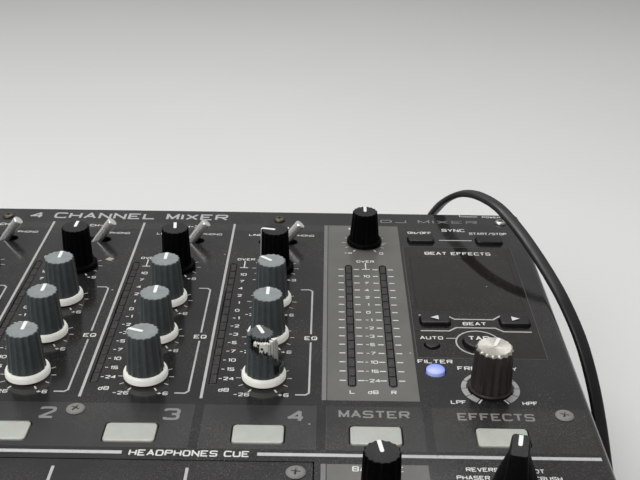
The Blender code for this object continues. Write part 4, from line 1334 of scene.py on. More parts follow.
def frequency_knob_mesh():
    """A brown fluted knob under a scalloped, turned metal cap."""
    bm = bmesh.new()
    high, depth = 0.0166, 0.0007
    add_body(bm, 0.0010, high, 0.00745, 0.00675, depth, 0.0001)
    flange = mm((6.0, 0.0), (7.6, 0.0), (7.8, 0.2), (7.8, 0.7), (7.5, 1.0), (6.0, 1.1))
    add_turned(bm, flange, 64, wrap=True)
    cap = [(0.00676, depth, -0.0001), (0.00672, depth, 0.0001), (0.00630, depth * 0.8, 0.0007),
           (0.00600, depth * 0.3, 0.0009), (0.0051, 0, 0.00087), (0.0024, 0, 0.00078), (0.0003, 0, 0.00075)]
    add_layers(bm, [fluted(radius, wave, high + rise) for radius, wave, rise in cap], 1)
    top = high + 0.00098
    add_pointer(bm, [(0.0002, top), (0.0059, top), (0.0067, top - 0.0009)], 0.00066, 0.0003, 2)
    add_stem(bm, 3)
    return pattern("frequency_knob_pattern", bm, ("umber", "cap", "pointer", "hole"), 28)


def selector_mesh():
    """A bell-shaped foot that runs up into a tapering finger bar."""
    bm = bmesh.new()
    bell = mm((3.0, 0.0), (7.8, 0.0), (8.0, 0.3), (7.9, 1.5), (7.5, 3.0), (6.9, 5.0), (6.1, 8.0), (5.1, 10.8),
              (4.0, 13.8), (3.0, 16.6), (2.0, 17.8))
    add_turned(bm, bell, 72)
    bar_levels = mm((1.2, 9.0, 15.0, 1.6), (6.0, 8.2, 14.2, 1.4), (12.0, 6.8, 12.8, 1.2),
                    (18.2, 5.6, 11.3, 1.0), (18.7, 5.3, 11.0, 1.0), (18.9, 4.7, 10.4, 0.9))
    add_levels(bm, [(rounded(0, 0, *size, 6), z) for z, *size in bar_levels])
    # A thin slab over the bar's top in the lighter, glossier key finish: a painted lit top over the darker
    # selector black.
    add_prism(bm, rounded(0, 0, 0.0050, 0.0107, 0.0009, 6), 0.0187, 0.01893, 3)
    top = 0.01898
    line = [(-0.0004, top), (0.0050, top), (0.0057, 0.0184), (0.0066, 0.0120), (0.0074, 0.0040)]
    add_pointer(bm, line, 0.00066, 0.0003, 1)
    add_stem(bm, 2)
    return pattern("selector_pattern", bm, ("selector", "pointer", "hole", "key"), 32)


# How far up the torn skin reaches in millimetres, by degrees from the front, positive towards the right
TEAR = ((-180, 18.6), (-120, 18.4), (-80, 18.0), (-60, 17.0), (-46, 16.2), (-36, 14.6), (-20, 13.9),
        (0, 13.9), (16, 13.1), (32, 12.0), (58, 9.2), (84, 6.2), (110, 4.8), (134, 7.5), (152, 15.0),
        (180, 18.6))
TORN_REST = -POINTER[TORN_KNOB]


def tear_height(degrees):
    """Height of the torn skin's ragged rim at an angle from the front."""
    for (a, low), (b, high) in zip(TEAR[:-1], TEAR[1:]):
        if a <= degrees <= b:
            whole = low + (high - low) * (degrees - a) / (b - a)
            ragged = 0.45 * math.sin(degrees * 0.61) + 0.30 * math.sin(degrees * 0.23 + 1.0)
            return (whole + ragged * (whole < 18.0)) / 1000
    return 0.0188


def from_front(a):
    """Degrees from the knob's front at rest for an angle round its axis in radians."""
    return (math.degrees(a) + TORN_REST + 90 + 180) % 360 - 180


def skin_point(i, step):
    """A point of the torn skin's outside, and the matching one of its inside."""
    low, high, foot, head = 0.0030, 0.0188, 0.00685, 0.00590
    a = 2 * math.pi * i / (FLUTES * FLUTE_STEPS)
    limit = tear_height(from_front(a))
    z = low + (limit - low) * step / 12
    radius = foot + (head - foot) * (z - low) / (high - low)
    radius -= 0.00042 * (0.5 + 0.5 * math.cos(FLUTES * a)) ** 0.8
    torn, rim = limit < 0.0175, step == 12
    curl = max(0.0, step - 8) / 4 * torn
    radius += curl ** 2 * (0.00035 + 0.00030 * math.sin(i * 1.3) + 0.0004 * math.sin(i * 0.37))
    inner = radius - 0.0013 + 0.0004 * curl - 0.0001 * math.sin(i * 2.1)
    jag = 0.00030 * math.sin(i * 2.3) * rim * torn
    across, along = math.cos(a), math.sin(a)
    return (radius * across, radius * along, z + jag), (inner * across, inner * along, z - 0.0002 * rim)


def torn_disc():
    """Outline of what is left of the knob's top."""
    count = FLUTES * FLUTE_STEPS
    outline = []
    for i in range(count):
        a = 2 * math.pi * i / count
        reach = 0.0036 + 0.00035 * math.sin(i * 0.9) + 0.00010 * math.sin(i * 2.7)
        reach += 0.0009 * max(0.0, math.cos(math.radians(from_front(a) + 120))) ** 0.7
        outline.append((reach * math.cos(a), reach * math.sin(a)))
    return outline


def torn_knob_mesh():
    """An EQ knob whose rubber skin has torn off its upper front and right, over its pale ribbed core."""
    bm = bmesh.new()
    add_turned(bm, [(0.0038, 0.0010), (0.0038, 0.0176)], 40, paint=4)
    for front, high in ((27, 17.0), (41, 17.7), (55, 18.0), (69, 17.6), (84, 16.0), (100, 15.0)):
        half = 4.2
        add_shell(bm, (front - half, front + half), (1.0, high), (3.6, 5.3), 3, 2)
    add_shell(bm, (-34, 22), (14.0, 17.6), (4.4, 5.6), 3, 14)
    add_shell(bm, (-46, -12), (13.2, 16.3), (4.8, 5.9), 4, 12)
    add_shell(bm, (40, 74), (4.6, 7.8), (6.0, 6.75), 4, 10)
    add_shell(bm, (58, 88), (4.4, 7.0), (6.6, 7.4), 0, 12)
    add_shell(bm, (-20, -11), (16.5, 17.4), (4.8, 5.66), 4, 5)
    add_shell(bm, (-6, 3), (15.1, 16.0), (4.8, 5.66), 4, 5)
    rings = [[skin_point(i, step) for i in range(FLUTES * FLUTE_STEPS)] for step in range(13)]
    outer, inner = [[[pair[side] for pair in ring] for ring in rings] for side in (0, 1)]
    add_layers(bm, outer + inner[::-1], wrap=True)
    disc = torn_disc()
    levels = ((0.95, 0.0176), (1.0, 0.0180), (0.97, 0.0188))
    add_levels(bm, [([(x * k, y * k) for x, y in disc], z) for k, z in levels])
    add_turned(bm, SKIRT, 64, paint=1, wrap=True)
    top = 0.01892
    add_pointer(bm, [(-0.0002, top), (0.0054, top), (0.0061, 0.0186), (0.0062, 0.0180)], 0.00066, 0.0005, 2)
    for index in range(15):
        add_shred(bm, -62 + index * 13.3 + 5 * math.sin(index * 2.2), index)
    add_gap(bm, 4)
    return pattern("torn_knob_pattern", bm, ("slate", "ivory", "pointer", "core", "hole"), 28)


def add_shell(bm, span, levels, radii, paint, steps):
    """Part of a ragged tube between two angles from the front, two heights and two radii in millimetres."""
    layers = []
    for i in range(steps + 1):
        a = math.radians(span[0] + (span[1] - span[0]) * i / steps - 90 - TORN_REST)
        low_rag, high_rag = [math.sin(i * 2.1 + side) * (steps > 9) for side in (0, 2)]
        low, high = levels[0] + 0.5 * low_rag, levels[1] + 0.3 * high_rag
        loop = ((radii[0], low), (radii[1], low), (radii[1], high), (radii[0], high))
        layers.append(mm(*[(r * math.cos(a), r * math.sin(a), z) for r, z in loop]))
    add_layers(bm, layers, paint)


def add_shred(bm, front, index):
    """A curled thread of skin that stands up from the torn rim."""
    height = tear_height(max(-179, min(179, front)))
    radius = 0.0063 - (height - 0.003) * 0.06
    length = 0.0009 + 0.0008 * ((index * 7) % 4) / 3
    half = 0.00016 + 0.00012 * ((index * 5) % 3)
    layers = []
    for t in (step / 3 for step in range(4)):
        out = radius + 0.0009 * t * t * math.sin(index * 1.9)
        side, size = 0.0007 * t * math.sin(index * 2.7), half * (1 - 0.75 * t)
        x0, x1, y0, y1 = out - 0.0001, out + 0.0002, side - size, side + size
        z = height - 0.0006 + length * t
        layers.append([(x0, y0, z), (x1, y0, z), (x1, y1, z), (x0, y1, z)])
    move(bm, add_layers(bm, layers), Matrix.Rotation(math.radians(front - 90 - TORN_REST), 4, "Z"))


def make_knobs():
    eq, dark = eq_knob_mesh(), dark_knob_mesh()
    special = {
        "master_level_knob": (dark_knob_mesh(0.0069, 0.0056, 0.0154), "knob_black"),
        "frequency_knob": (frequency_knob_mesh(), "knob_metallic"),
        "effect_selector_knob": (selector_mesh(), "knob_black"),
        TORN_KNOB: (torn_knob_mesh(), "knob_grey"),
    }
    for node in KNOBS:
        mesh, slot = special.get(node, (eq, "knob_grey") if node.startswith("eq_") else (dark, "knob_black"))
        x, y, _ = AXIS[node]
        knob = put(f"{node}_shape", mesh, (x, y, KNOB_BASE), (0, 0, -math.radians(POINTER[node])))
        settle(knob, slot, node, body=node)


def make_washers():
    """A thin dark nut and washer on each knob's bush, which shows under the knobs' edges."""
    bm = bmesh.new()
    lip, face = TOP + 0.0001, TOP + 0.0003
    profile = [(0.0037, TOP), (0.0058, TOP), (0.0060, lip), (0.0060, face), (0.0037, face)]
    for node in KNOBS:
        add_turned(bm, profile, 32, AXIS[node].xy, wrap=True)
    build("bush_washers", bm, "dark_screw", 30, "lever_chrome")


# ---------------------------------------------------------------- levers, keys, meters, window
def make_levers():
    """Toggle levers: a polished bat, slightly thicker at its bevelled end, from a black boot plate."""
    bm = bmesh.new()
    profile = mm((1.8, 0.0), (1.9, 3.0), (2.25, 12.7), (2.3, 15.7), (2.3, 16.2), (2.15, 16.62), (2.0, 16.7),
                 (0.6, 16.7))
    add_turned(bm, profile, 32)
    mesh = pattern("lever_pattern", bm, "chrome", 38)
    for number in (1, 2, 3, 4):
        node = f"input_lever_{number}"
        reach = middle(node) - AXIS[node]
        lever = put(f"{node}_shape", mesh, AXIS[node], (0, math.atan2(reach.x, reach.z), 0))
        settle(lever, "lever_chrome", node, body=node)
    bm = bmesh.new()
    low_z, high_z = TOP - SHEET - 0.0042, TOP - SHEET - 0.0001
    for column in COLUMNS:
        outside, inside = lever_slot(column, 0.0018), lever_slot(column, -0.0002)
        add_levels(bm, ((outside, low_z), (outside, high_z), (inside, high_z), (inside, low_z)), wrap=True)
        add_prism(bm, outside, low_z - 0.0006, low_z - 0.0002)
    build("lever_wells", bm, "hole", 0, "moulded_black")


def make_keys():
    """Buttons with a softly rounded rim and a slightly dished or domed face."""
    slots = {"milky": "key_milky", "key": "key_black", "blue": "key_blue"}
    rim, rise = 0.0004, 0.0011
    for node, finish in KEYS.items():
        x, y, width, length = plan(node)
        low, top = [corner.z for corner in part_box(node)]
        top -= 0.0003 * (finish == "key") + 0.0005 * (node == "auto_button")
        levels = [(0.0, low), (0.0, top - rim), (rim * 0.12, top - rim * 0.5), (rim * 0.45, top - rim * 0.14),
                  (rim, top), (rim * 2.2, top + 0.00002)]
        if finish == "blue":
            bends = [math.radians(12 * i) for i in range(8)]
            levels[1:] = [(width / 2 * (1 - math.cos(a)), top - rise * (1 - math.sin(a))) for a in bends]
        bm, layers = bmesh.new(), []
        for shrink, z in levels:
            wide, long = 1 - shrink / (width / 2), 1 - shrink / (length / 2)
            layers.append([(x + (px - x) * wide, y + (py - y) * long, z) for px, py in key_outline(node)])
        add_layers(bm, layers)
        settle(make(f"{node}_cap", bm, finish, 50), slots[finish], node, body=node)


def make_meters():
    """Bars of the level meters in their slots: dusty ones in the channels, cleaner in the master."""
    half, edge, reach = METER_WIDTH / 2 - 0.00022, METER_WIDTH / 2 - 0.00012, SEGMENT_PITCH / 2 - 0.00042
    meters = (("channel", CHANNEL_METERS, "dusty_led"), ("master", MASTER_METERS, "grey_led"))
    for name, places, finish in meters:
        bm, back = bmesh.new(), bmesh.new()
        for x in places:
            for step in range(len(LEVELS)):
                y = FIRST_SEGMENT_Y - step * SEGMENT_PITCH
                rear = y + (reach if step else min(METER_REAR - 0.0003 - y, 0.0036))
                low, high = (x - half, y - reach, TOP - 0.0012), (x + half, rear, TOP - 0.00018)
                add_soft_box(bm, low, high, 0.00014, 0, 0.0003)
            front, rear = METER_FRONT + 0.0002, METER_REAR - 0.0002
            add_box(back, (x - edge, front, TOP - 0.00185), (x + edge, rear, TOP - 0.00050))
        build(f"{name}_meter_bars", bm, finish, 40, "moulded_black")
        settle(soften(make(f"{name}_meter_carrier", back, "hole"), 0.0001, 1), "moulded_black")


def make_window():
    """Smoked display window with a softened rim."""
    bm = bmesh.new()
    face = TOP - 0.00002
    levels = ((0.0, WINDOW_LOW.z), (0.0, face - 0.00005), (-0.00005, face), (-0.0006, face + 0.00001))
    add_levels(bm, [(window_outline(grow), z) for grow, z in levels])
    build("display_lens", bm, "window", 40, "smoked_window", "display_window")


def screw_mesh(finish, radius, height=0.0013, recess="hole"):
    """Pan head with a cross recess. The recess takes its own finish, by default the near-black slot finish:
    painted shade in the cross.
    """
    bm = bmesh.new()
    head = ((0.94, 0.0), (1.0, 0.0002), (0.97, height * 0.45), (0.82, height * 0.78), (0.55, height * 0.95),
            (0.2, height))
    add_turned(bm, [(radius * part, z) for part, z in head], 40)
    screw = make("screw_pattern", bm, (finish, recess), 40)
    arm, half = radius * 0.52, radius * 0.11
    arms = ((arm, -half), (arm, half), (half, half), (half, arm), (-half, arm), (-half, half))
    outline = [(side * x, side * y) for side in (1, -1) for x, y in arms]
    bm = bmesh.new()
    levels = ((0.45, height - 0.0010), (1.04, height + 0.0001))
    add_levels(bm, [([(x * k, y * k) for x, y in outline], z) for k, z in levels], 1)
    cut(screw, bm, 40, (finish, recess))
    mesh = screw.data
    bpy.data.objects.remove(screw)
    return mesh


def make_screws():
    """Panel and fader-plate screws."""
    bright, dusty = screw_mesh("screw", 0.00275), screw_mesh("dark_screw", 0.00275)
    wide = screw_mesh("pale_screw", 0.0033, 0.0008, "pale_screw")
    rear_y, front_y, side = PANEL_HIGH.y - 0.0086, CUE_BAND[1] - 0.0037, PANEL_HIGH.x - 0.0105
    places = [(dusty, 0.0435, rear_y), (bright, side, rear_y), (dusty, -side, rear_y),
              (dusty, -0.0870, rear_y), (wide, side - 0.0002, front_y), (wide, -side, front_y),
              (wide, -0.0202, front_y - 0.0003)]
    places += [(dusty, x, PANEL_LOW.y + 0.0086) for x in (side, -side)]
    places += [(wide, x, y) for x in (PLATE_LOW.x + 0.0058, PLATE_HIGH.x - 0.0055)
               for y in (PLATE_HIGH.y - 0.0053, PLATE_LOW.y + 0.0055)]
    for index, (mesh, x, y) in enumerate(places):
        settle(put(f"panel_screw_{index + 1}", mesh, (x, y, TOP), (0, 0, index * 0.7)), "lever_chrome")


# ---------------------------------------------------------------- faders and controls without a node
def fader_mesh():
    """A cap with finger hollows, side ribs, a white index line and its blade."""
    bm = bmesh.new()
    half_x, half_y, base, top = 0.0050, 0.0110, 0.0023, 0.0125
    line, skin, inset, middle_z = 0.00045, 0.00006, 0.00035, (base + top) / 2
    profile = [(-half_y, base), (half_y, base), (half_y, base + 0.0046), (half_y - 0.0006, base + 0.0056)]
    for t in (step / 8 for step in range(9)):
        hollow = 0.0009 * math.sin(math.pi * min(t * 1.6, 1.0))
        z = base + 0.0056 - hollow + (top - base - 0.0062) * t ** 2.6
        profile.append((half_y - 0.0012 - (half_y - 0.0042) * t, z))
    profile.append((0.0022, top - 0.0001))
    profile += [(-y, z) for y, z in profile[2:][::-1]]
    layers = []
    for x, k in ((-half_x, inset), (-half_x + inset, 0.0), (half_x - inset, 0.0), (half_x, inset)):
        wide, high = 1 - k / half_y, 1 - k / 0.0051
        layers.append([(x, y * wide, middle_z + (z - middle_z) * high) for y, z in profile])
    add_layers(bm, layers)
    add_soft_box(bm, (-half_x + 0.0004, -line, top - 0.0004), (half_x - 0.0004, line, top + skin), 0.00005, 1)
    for side in (-1, 1):
        x = side * half_x
        add_soft_box(bm, (x - skin, -line, base + 0.0008), (x + skin, line, top - 0.0006), 0.00005, 1)
        for rib in range(4):
            y, z = side * (0.0046 + rib * 0.0014), base + 0.00525 + 0.0009 * (rib == 0)
            add_block(bm, (0, y, z), (half_x - 0.0008, 0.00025, 0.00045), 0.0001)
    add_box(bm, (-0.0010, -0.0020, -0.0062), (0.0010, 0.0020, base + 0.0010), 2)
    return pattern("fader_pattern", bm, ("fader", "pointer", "screw"), 38)


def make_faders():
    mesh = fader_mesh()
    for node in FADERS:
        x, y, _ = middle(node)
        cap = put(f"{node}_cap", mesh, (x, y, TOP), (0, 0, math.pi / 2 * (node == "crossfader")))
        settle(cap, "fader_cap", node, body=node)


def socket_mesh(outer, bore, height):
    """A panel jack: nut or bezel ring round a dark bore."""
    bm = bmesh.new()
    profile = [(bore, -0.004), (outer * 0.9, -0.001), (outer, 0.0), (outer, height * 0.6),
               (outer * 0.93, height), (bore + 0.0006, height), (bore, height * 0.7)]
    add_turned(bm, profile, 40, wrap=True)
    add_turned(bm, [(bore, -0.0050), (bore, -0.0042)], 40, paint=1)
    return pattern("socket_pattern", bm, ("key", "hole"), 35)


def make_fixed_controls():
    """Microphone, headphone, booth and effect controls, which the joint list has no room for."""
    dark = dark_knob_mesh()
    left_x = (PANEL_LOW.x + DIVIDERS[0]) / 2
    knobs = (
        ("mic_level", left_x, ROWS["trim"] - 0.0005, "-∞", "0"),
        ("mic_high", left_x, ROWS["eq_high"] - 0.0030, "-12", "+12"),
        ("mic_low", left_x, ROWS["eq_mid"] - 0.0045, "-12", "+12"),
        ("booth_level", MASTER_X, AXIS["balance_knob"].y - 0.0330, "-∞", "0"),
        ("phones_mixing", left_x, -0.0390, "CUE", "MST"),
        ("phones_level", left_x, -0.0800, "-∞", "0"),
        ("effect_channel", EFFECTS_X, -0.0600, "CH1", "MIC"),
        ("effect_time", EFFECTS_X, -0.0960, "-", "+"),
        ("effect_depth", EFFECTS_X, -0.1300, "MIN", "MAX"),
    )
    for name, x, y, low_text, high_text in knobs:
        settle(put(f"{name}_knob", dark, (x, y, KNOB_BASE)), "knob_black")
        dial(x, y, low_text, high_text)
        word(name.split("_")[1].upper(), x, y + 0.0138, 0.0021)
    sockets = (("phones", (0.0068, 0.0032, 0.0016), -0.1330, 0.0120, 0.0024),
               ("mic", (0.0118, 0.0090, 0.0014), 0.1600, 0.0165, 0.0026))
    for name, sizes, y, label, cap in sockets:
        settle(put(f"{name}_socket", socket_mesh(*sizes), (left_x, y, TOP)), "moulded_black")
        word(name.upper(), left_x, y + label, cap)
    bm, y = bmesh.new(), -0.1610
    add_block(bm, (EFFECTS_X, y, TOP + 0.00105), (0.0095, 0.0055, 0.00105), 0.0005, 0, 0.0022)
    build("effect_switch_cap", bm, "milky", 40, "key_milky")
    word("ON/OFF", EFFECTS_X, y + 0.0083, 0.0022)
    bm = bmesh.new()
    places = [(MASTER_X, y) for y in (-0.0850, -0.1150, -0.1450)] + [(column, -0.1120) for column in COLUMNS]
    for x, y in places:
        add_block(bm, (x, y, TOP + 0.0002), (0.0058, 0.0026, 0.0002), 0.0001, 1, 0.0008)
        add_block(bm, (x, y, TOP + 0.00255), (0.0016, 0.0016, 0.00225), 0.0003)
    build("slide_switches", bm, ("key", "hole"), 40, "key_black")


# ---------------------------------------------------------------- case, rear and inside
WALL = 0.0015
REAR_FACE = REAR_HIGH.y
# Takes shapes drawn flat, x to the left and y upwards, onto the rear panel's outer face.
TO_REAR = Matrix(((-1, 0, 0, 0), (0, 0, 1, REAR_FACE), (0, 1, 0, 0), (0, 0, 0, 1)))
JACK_LOW, JACK_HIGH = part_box("jack_board")
JACK_COLUMNS = [JACK_LOW.x + 0.012 + 0.030 * column for column in range(6)]
JACK_ROWS = (JACK_LOW.z + 0.014, JACK_LOW.z + 0.036)
SWITCH = middle("power_switch")
INLET_X = middle("appliance_plug").x
INLET_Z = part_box("appliance_plug")[0].z + 0.0095


def inlet_shape(width, length, radius=0.0012):
    return rounded(-INLET_X, INLET_Z, width, length, radius, 4)


def rocker_shape(width, length, radius=0.0012):
    return rounded(-SWITCH.x, SWITCH.z, width, length, radius, 4)


def add_vents(bm, columns, rows, size, deep, turn):
    """Rounded slots in a grid, pushed through a wall that a turn matrix places."""
    verts = []
    for x in columns:
        for y in rows:
            verts += add_prism(bm, rounded(x, y, *size, min(size) / 2 - 1e-5, 4), -deep, deep)
    move(bm, verts, turn)


def places_from(start, pitch, count):
    return [start + pitch * i for i in range(count)]


def make_tray():
    """The folded lower case with rounded upright corners, side and floor vents and board posts."""
    low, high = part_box("chassis_tray")
    (x, y, *_), (width, length, _) = plan("chassis_tray"), extent("chassis_tray")
    bm, edge, full = bmesh.new(), 0.0008, rounded(x, y, width, length, 0.0022, 5)
    small = rounded(x, y, width - 2 * edge, length - 2 * edge, 0.0014, 5)
    add_levels(bm, ((small, low.z), (full, low.z + edge), (full, high.z)))
    tray = make("lower_case", bm, "case")
    bm = bmesh.new()
    inner = rounded(x, y + 0.005, width - 2 * WALL, length - 2 * WALL + 0.010, 0.0010, 4)
    add_prism(bm, inner, low.z + WALL, high.z + 0.01)
    flank = Matrix(((0, 0, 1, high.x), (1, 0, 0, 0), (0, 1, 0, 0), (0, 0, 0, 1)))
    for turn in (flank, Matrix.Scale(-1, 4, (1, 0, 0)) @ flank):
        add_vents(bm, places_from(0.040, 0.0056, 18), (0.034, 0.050), (0.0024, 0.0120), 0.004, turn)
    floor = Matrix.Translation((0, 0, low.z))
    add_vents(bm, places_from(-0.050, 0.0070, 15), (0.045, 0.075), (0.0030, 0.0200), 0.002, floor)
    cut(tray, bm, 25)
    settle(tray, "case_paint", "chassis_tray")
    bm, board_z, floor_z = bmesh.new(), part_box("main_board")[0].z, low.z + WALL
    for x in (-0.145, 0.145):
        for y in (-0.168, 0.020):
            add_turned(bm, [(0.0042, floor_z), (0.0030, floor_z + 0.001), (0.0030, board_z)], 6, (x, y))
    build("board_posts", bm, "jack", 30, "shield_steel")


def finish_inside():
    """The boards and the power supply keep their CAD shapes."""
    for node, finish in (("main_board", "board"), ("power_supply", "shield")):
        data = frame["nodes"][node].data
        data.materials.clear()
        data.materials.append(FINISHES[finish])


def make_case_screws():
    """Screws in the cover's skirts, the tray's floor and the rear panel."""
    mesh = screw_mesh("dark_screw", 0.0026)
    low, high, floor_z = REAR_LOW, REAR_HIGH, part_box("chassis_tray")[0].z
    backwards = (-math.pi / 2, 0, 0)
    places = [((side * (PANEL_HIGH.x - 0.0001), y, PANEL_LOW.z + 0.0085), (0, side * math.pi / 2, 0))
              for side in (-1, 1) for y in (-0.150, 0.0, 0.150)]
    places += [((x, y, floor_z), (math.pi, 0, 0)) for x in (-0.120, 0.0, 0.120) for y in (-0.160, 0.150)]
    places += [((x, REAR_FACE, z), backwards) for x in (low.x + 0.006, high.x - 0.004)
               for z in (low.z + 0.006, high.z - 0.008)]
    places += [((x, REAR_FACE, JACK_LOW.z + 0.025), backwards) for x in (-0.125, -0.065, -0.005, 0.055)]
    for index, (place, turn) in enumerate(places):
        settle(put(f"case_screw_{index + 1}", mesh, place, turn), "lever_chrome")


def make_rear_panel():
    """The recessed rear panel with openings for jacks, mains inlet, rocker and vents."""
    x, z, size = (REAR_LOW.x + REAR_HIGH.x) / 2, (REAR_LOW.z + REAR_HIGH.z) / 2, extent("rear_panel")
    bm = bmesh.new()
    verts = add_prism(bm, rounded(-x, z, size.x, size.z, 0.0006, 3), REAR_LOW.y - REAR_FACE, 0.0)
    move(bm, verts, TO_REAR)
    panel = make("rear_cover", bm, "case", 30)
    bm = bmesh.new()
    openings = [circle(-x, z, 0.0047, 40) for x in JACK_COLUMNS for z in JACK_ROWS]
    for outline in [*openings, inlet_shape(0.0209, 0.0149), rocker_shape(0.0104, 0.0200, 0.0008)]:
        move(bm, add_prism(bm, outline, -0.01, 0.01), TO_REAR)
    add_vents(bm, places_from(-0.098, 0.0052, 7), (0.034, 0.054), (0.0024, 0.0150), 0.01, TO_REAR)
    cut(panel, bm)
    settle(panel, "case_paint", "rear_panel")


def make_jacks():
    """Phono jacks on their board: nickel barrel, coloured insulator and flange, and a dark bore."""
    bm = bmesh.new()
    tip, root, front = JACK_HIGH.y - REAR_FACE, JACK_LOW.y - REAR_FACE, -WALL - 0.0003
    barrel = [(0.0036, -0.002), (0.0042, -0.002), (0.0042, tip - 0.0004), (0.0040, tip), (0.0037, tip),
              (0.0036, tip - 0.0002)]
    flange = mm((4.3, 0.1), (6.4, 0.1), (6.5, 0.3), (6.4, 0.9), (6.0, 1.3), (4.6, 1.3), (4.3, 1.0))
    insulator = [(0.0018, -0.002), (0.0036, -0.002), (0.0036, tip - 0.0012), (0.0033, tip - 0.0009),
                 (0.0020, tip - 0.0009), (0.0018, tip - 0.0012)]
    add_box(bm, JACK_LOW, (JACK_HIGH.x, JACK_LOW.y + 0.0016, JACK_HIGH.z))
    for z, colour in zip(JACK_ROWS, (2, 3)):
        for x in JACK_COLUMNS:
            place = (-x, z)
            low, high = (-x - 0.0052, z - 0.0055, root + 0.0014), (-x + 0.0052, z + 0.0055, front)
            verts = add_soft_box(bm, low, high, 0.0004, 4)
            for profile, paint in ((barrel, 1), (flange, 4), (insulator, colour)):
                verts += add_turned(bm, profile, 40, place, paint, wrap=True)
            verts += add_turned(bm, [(0.0018, -0.0024), (0.0018, -0.0018)], 20, place, 5)
            move(bm, verts, TO_REAR)
    finishes = ("board", "jack", "red", "white", "moulded", "hole")
    build("rear_jacks", bm, finishes, 35, "jack_metal", "jack_board")


def make_ground_post():
    """A knurled ground terminal on its threaded stud."""
    bm = bmesh.new()
    x, y = place = (-0.0700, JACK_LOW.z + 0.004)
    verts = add_turned(bm, mm((3.4, 0.0), (3.4, 0.6), (1.8, 0.8), (1.8, 9.2), (1.4, 9.6)), 28, place)
    knurled = [fluted(r, 0.0003, z, 24) for r, z in mm((4.0, 2.0), (4.4, 2.4), (4.4, 6.2), (4.0, 6.6))]
    verts += add_layers(bm, [[(px + x, py + y, z) for px, py, z in ring] for ring in knurled])
    move(bm, verts, TO_REAR)
    build("ground_post", bm, "jack", 35, "jack_metal")


def make_inlet():
    """Moulded mains inlet with its rim, and the rocker's housing with a raised bezel."""
    low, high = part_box("power_inlet")
    bm, front, back = bmesh.new(), -WALL - 0.0003, low.y - REAR_FACE
    add_soft_box(bm, (-high.x, low.z, front - 0.0016), (-low.x, high.z, front), 0.0003, 0, 0.001)
    add_prism(bm, inlet_shape(0.0200, 0.0140), back, 0.0016)
    add_prism(bm, rocker_shape(0.0160, 0.0250, 0.0010), back + 0.003, front - 0.0008)
    move(bm, bm.verts[:], TO_REAR)
    body = make("mains_inlet", bm, "moulded")
    bm = bmesh.new()
    add_prism(bm, inlet_shape(0.0164, 0.0088, 0.0010), -0.0105, 0.0117)
    add_prism(bm, rocker_shape(0.0104, 0.0210, 0.0006), -0.0130, 0.0117)
    move(bm, bm.verts[:], TO_REAR)
    cut(body, bm, 30)
    settle(body, "moulded_black", "power_inlet")
    bm = bmesh.new()
    rims = ((inlet_shape, (24.4, 18.0), (20.2, 14.2)), (rocker_shape, (13.6, 23.8), (10.4, 20.0)))
    for shape, outer, inner in rims:
        slim = [side - 0.6 for side in outer]
        loops = mm((*outer, 0.1), (*outer, 0.7), (*slim, 1.0), (*inner, 1.0), (*inner, 0.1))
        add_levels(bm, [(shape(width, length), z) for width, length, z in loops], wrap=True)
    move(bm, bm.verts[:], TO_REAR)
    build("inlet_rims", bm, "key", 30, "moulded_black")


def make_rocker():
    """Power rocker with a hollow face, a bar mark and a ring mark."""
    node = "power_switch"
    heights = [i / 6 for i in range(-6, 7)]
    face = [(0.0076 - 0.0014 * math.cos(math.pi / 2 * t) ** 2, 0.0082 * t) for t in heights]
    outline = [(-0.003, 0.005), (-0.003, -0.005), (0.002, -0.0082), *face, (0.002, 0.0082)]
    sections = ((-0.0047, 0.96), (-0.0044, 1.0), (0.0044, 1.0), (0.0047, 0.96))
    bm = bmesh.new()
    add_layers(bm, [[(x, y * k, z * k) for y, z in outline] for x, k in sections])
    add_box(bm, (-0.0003, 0.0071, 0.0035), (0.0003, 0.00735, 0.0062), 1)
    ring = mm((0.9, 7.0), (1.3, 7.0), (1.3, 7.3), (0.9, 7.3))
    verts = add_turned(bm, ring, 28, (0, 0.0048), 1, wrap=True)
    move(bm, verts, Matrix(((1, 0, 0, 0), (0, 0, 1, 0), (0, -1, 0, 0), (0, 0, 0, 1))))
    tilt = (-math.radians(POINTER[node]), 0, 0)
    settle(make("power_rocker", bm, ("key", "pointer"), 30, AXIS[node], tilt), "key_black", node, body=node)


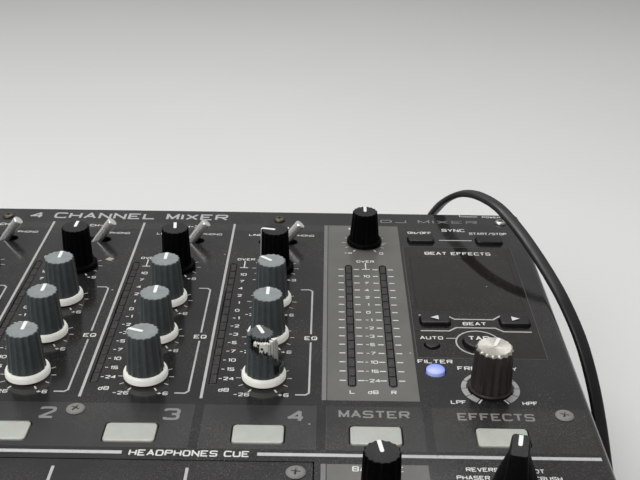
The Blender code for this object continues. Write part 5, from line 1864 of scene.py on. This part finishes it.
def print_rear():
    """Generic labels over the jacks, drawn flat and turned onto the rear face in finish_print."""
    def label(text, x, y, cap):
        word(text, x, y, cap, ink="white_ink@rear", z=0.0)

    high, low = JACK_ROWS[1] + 0.0095, JACK_ROWS[0] - 0.0085
    for x, text in zip(JACK_COLUMNS, ("LINE 4", "LINE 3", "LINE 2", "LINE 1", "BOOTH", "MASTER")):
        label(text, -x, high, 0.0024)
        label("R", -x + 0.0085, JACK_ROWS[0], 0.0022)
        label("L", -x + 0.0085, JACK_ROWS[1], 0.0022)
        stroke("silver_ink@rear", [(-x - 0.0085, low), (-x + 0.0085, low)], 0.0005, z=0.0)
    label("GND", -0.0700, JACK_LOW.z + 0.0105, 0.0022)
    label("AC IN", -INLET_X, INLET_Z - 0.0125, 0.0024)
    label("POWER", -SWITCH.x, SWITCH.z + 0.0150, 0.0022)


def make_feet():
    for node in [f"foot_{end}_{side}" for side in ("left", "right") for end in ("front", "rear")]:
        (x, y, _), radius, height = middle(node), extent(node).x / 2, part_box(node)[1].z
        profile = [(0.0030, 0.0012), (0.0034, 0.0), (radius - 0.0022, 0.0), (radius - 0.0010, 0.0004),
                   (radius - 0.0003, 0.0016), (radius, height * 0.75), (radius, height - 0.0002)]
        bm = bmesh.new()
        add_turned(bm, profile, 48)
        settle(make(f"{node}_pad", bm, "rubber", 40, (x, y, 0)), "foot_rubber", node)


def make_all():
    make_camera()
    make_stage()
    plugs = [make_appliance_plug(), make_mains_plug()]
    make_cord(plugs + make_coil_ties())
    for step in (make_panel, make_front_skirt, make_fader_plate, make_knobs, make_washers, make_levers,
                 make_keys, make_meters, make_window, make_screws, make_faders, make_tray, finish_inside,
                 make_feet, make_rear_panel, make_jacks, make_ground_post, make_inlet, make_rocker,
                 make_case_screws, print_rear):
        step()
    for number, (column, meter) in enumerate(zip(COLUMNS, CHANNEL_METERS), 1):
        print_channel(column, meter, number)
    for step in (print_master, print_beat_effects, print_frequency, print_selector, print_key_marks,
                 print_lines, print_faders, print_flakes, make_fixed_controls, finish_print):
        step()


make_all()
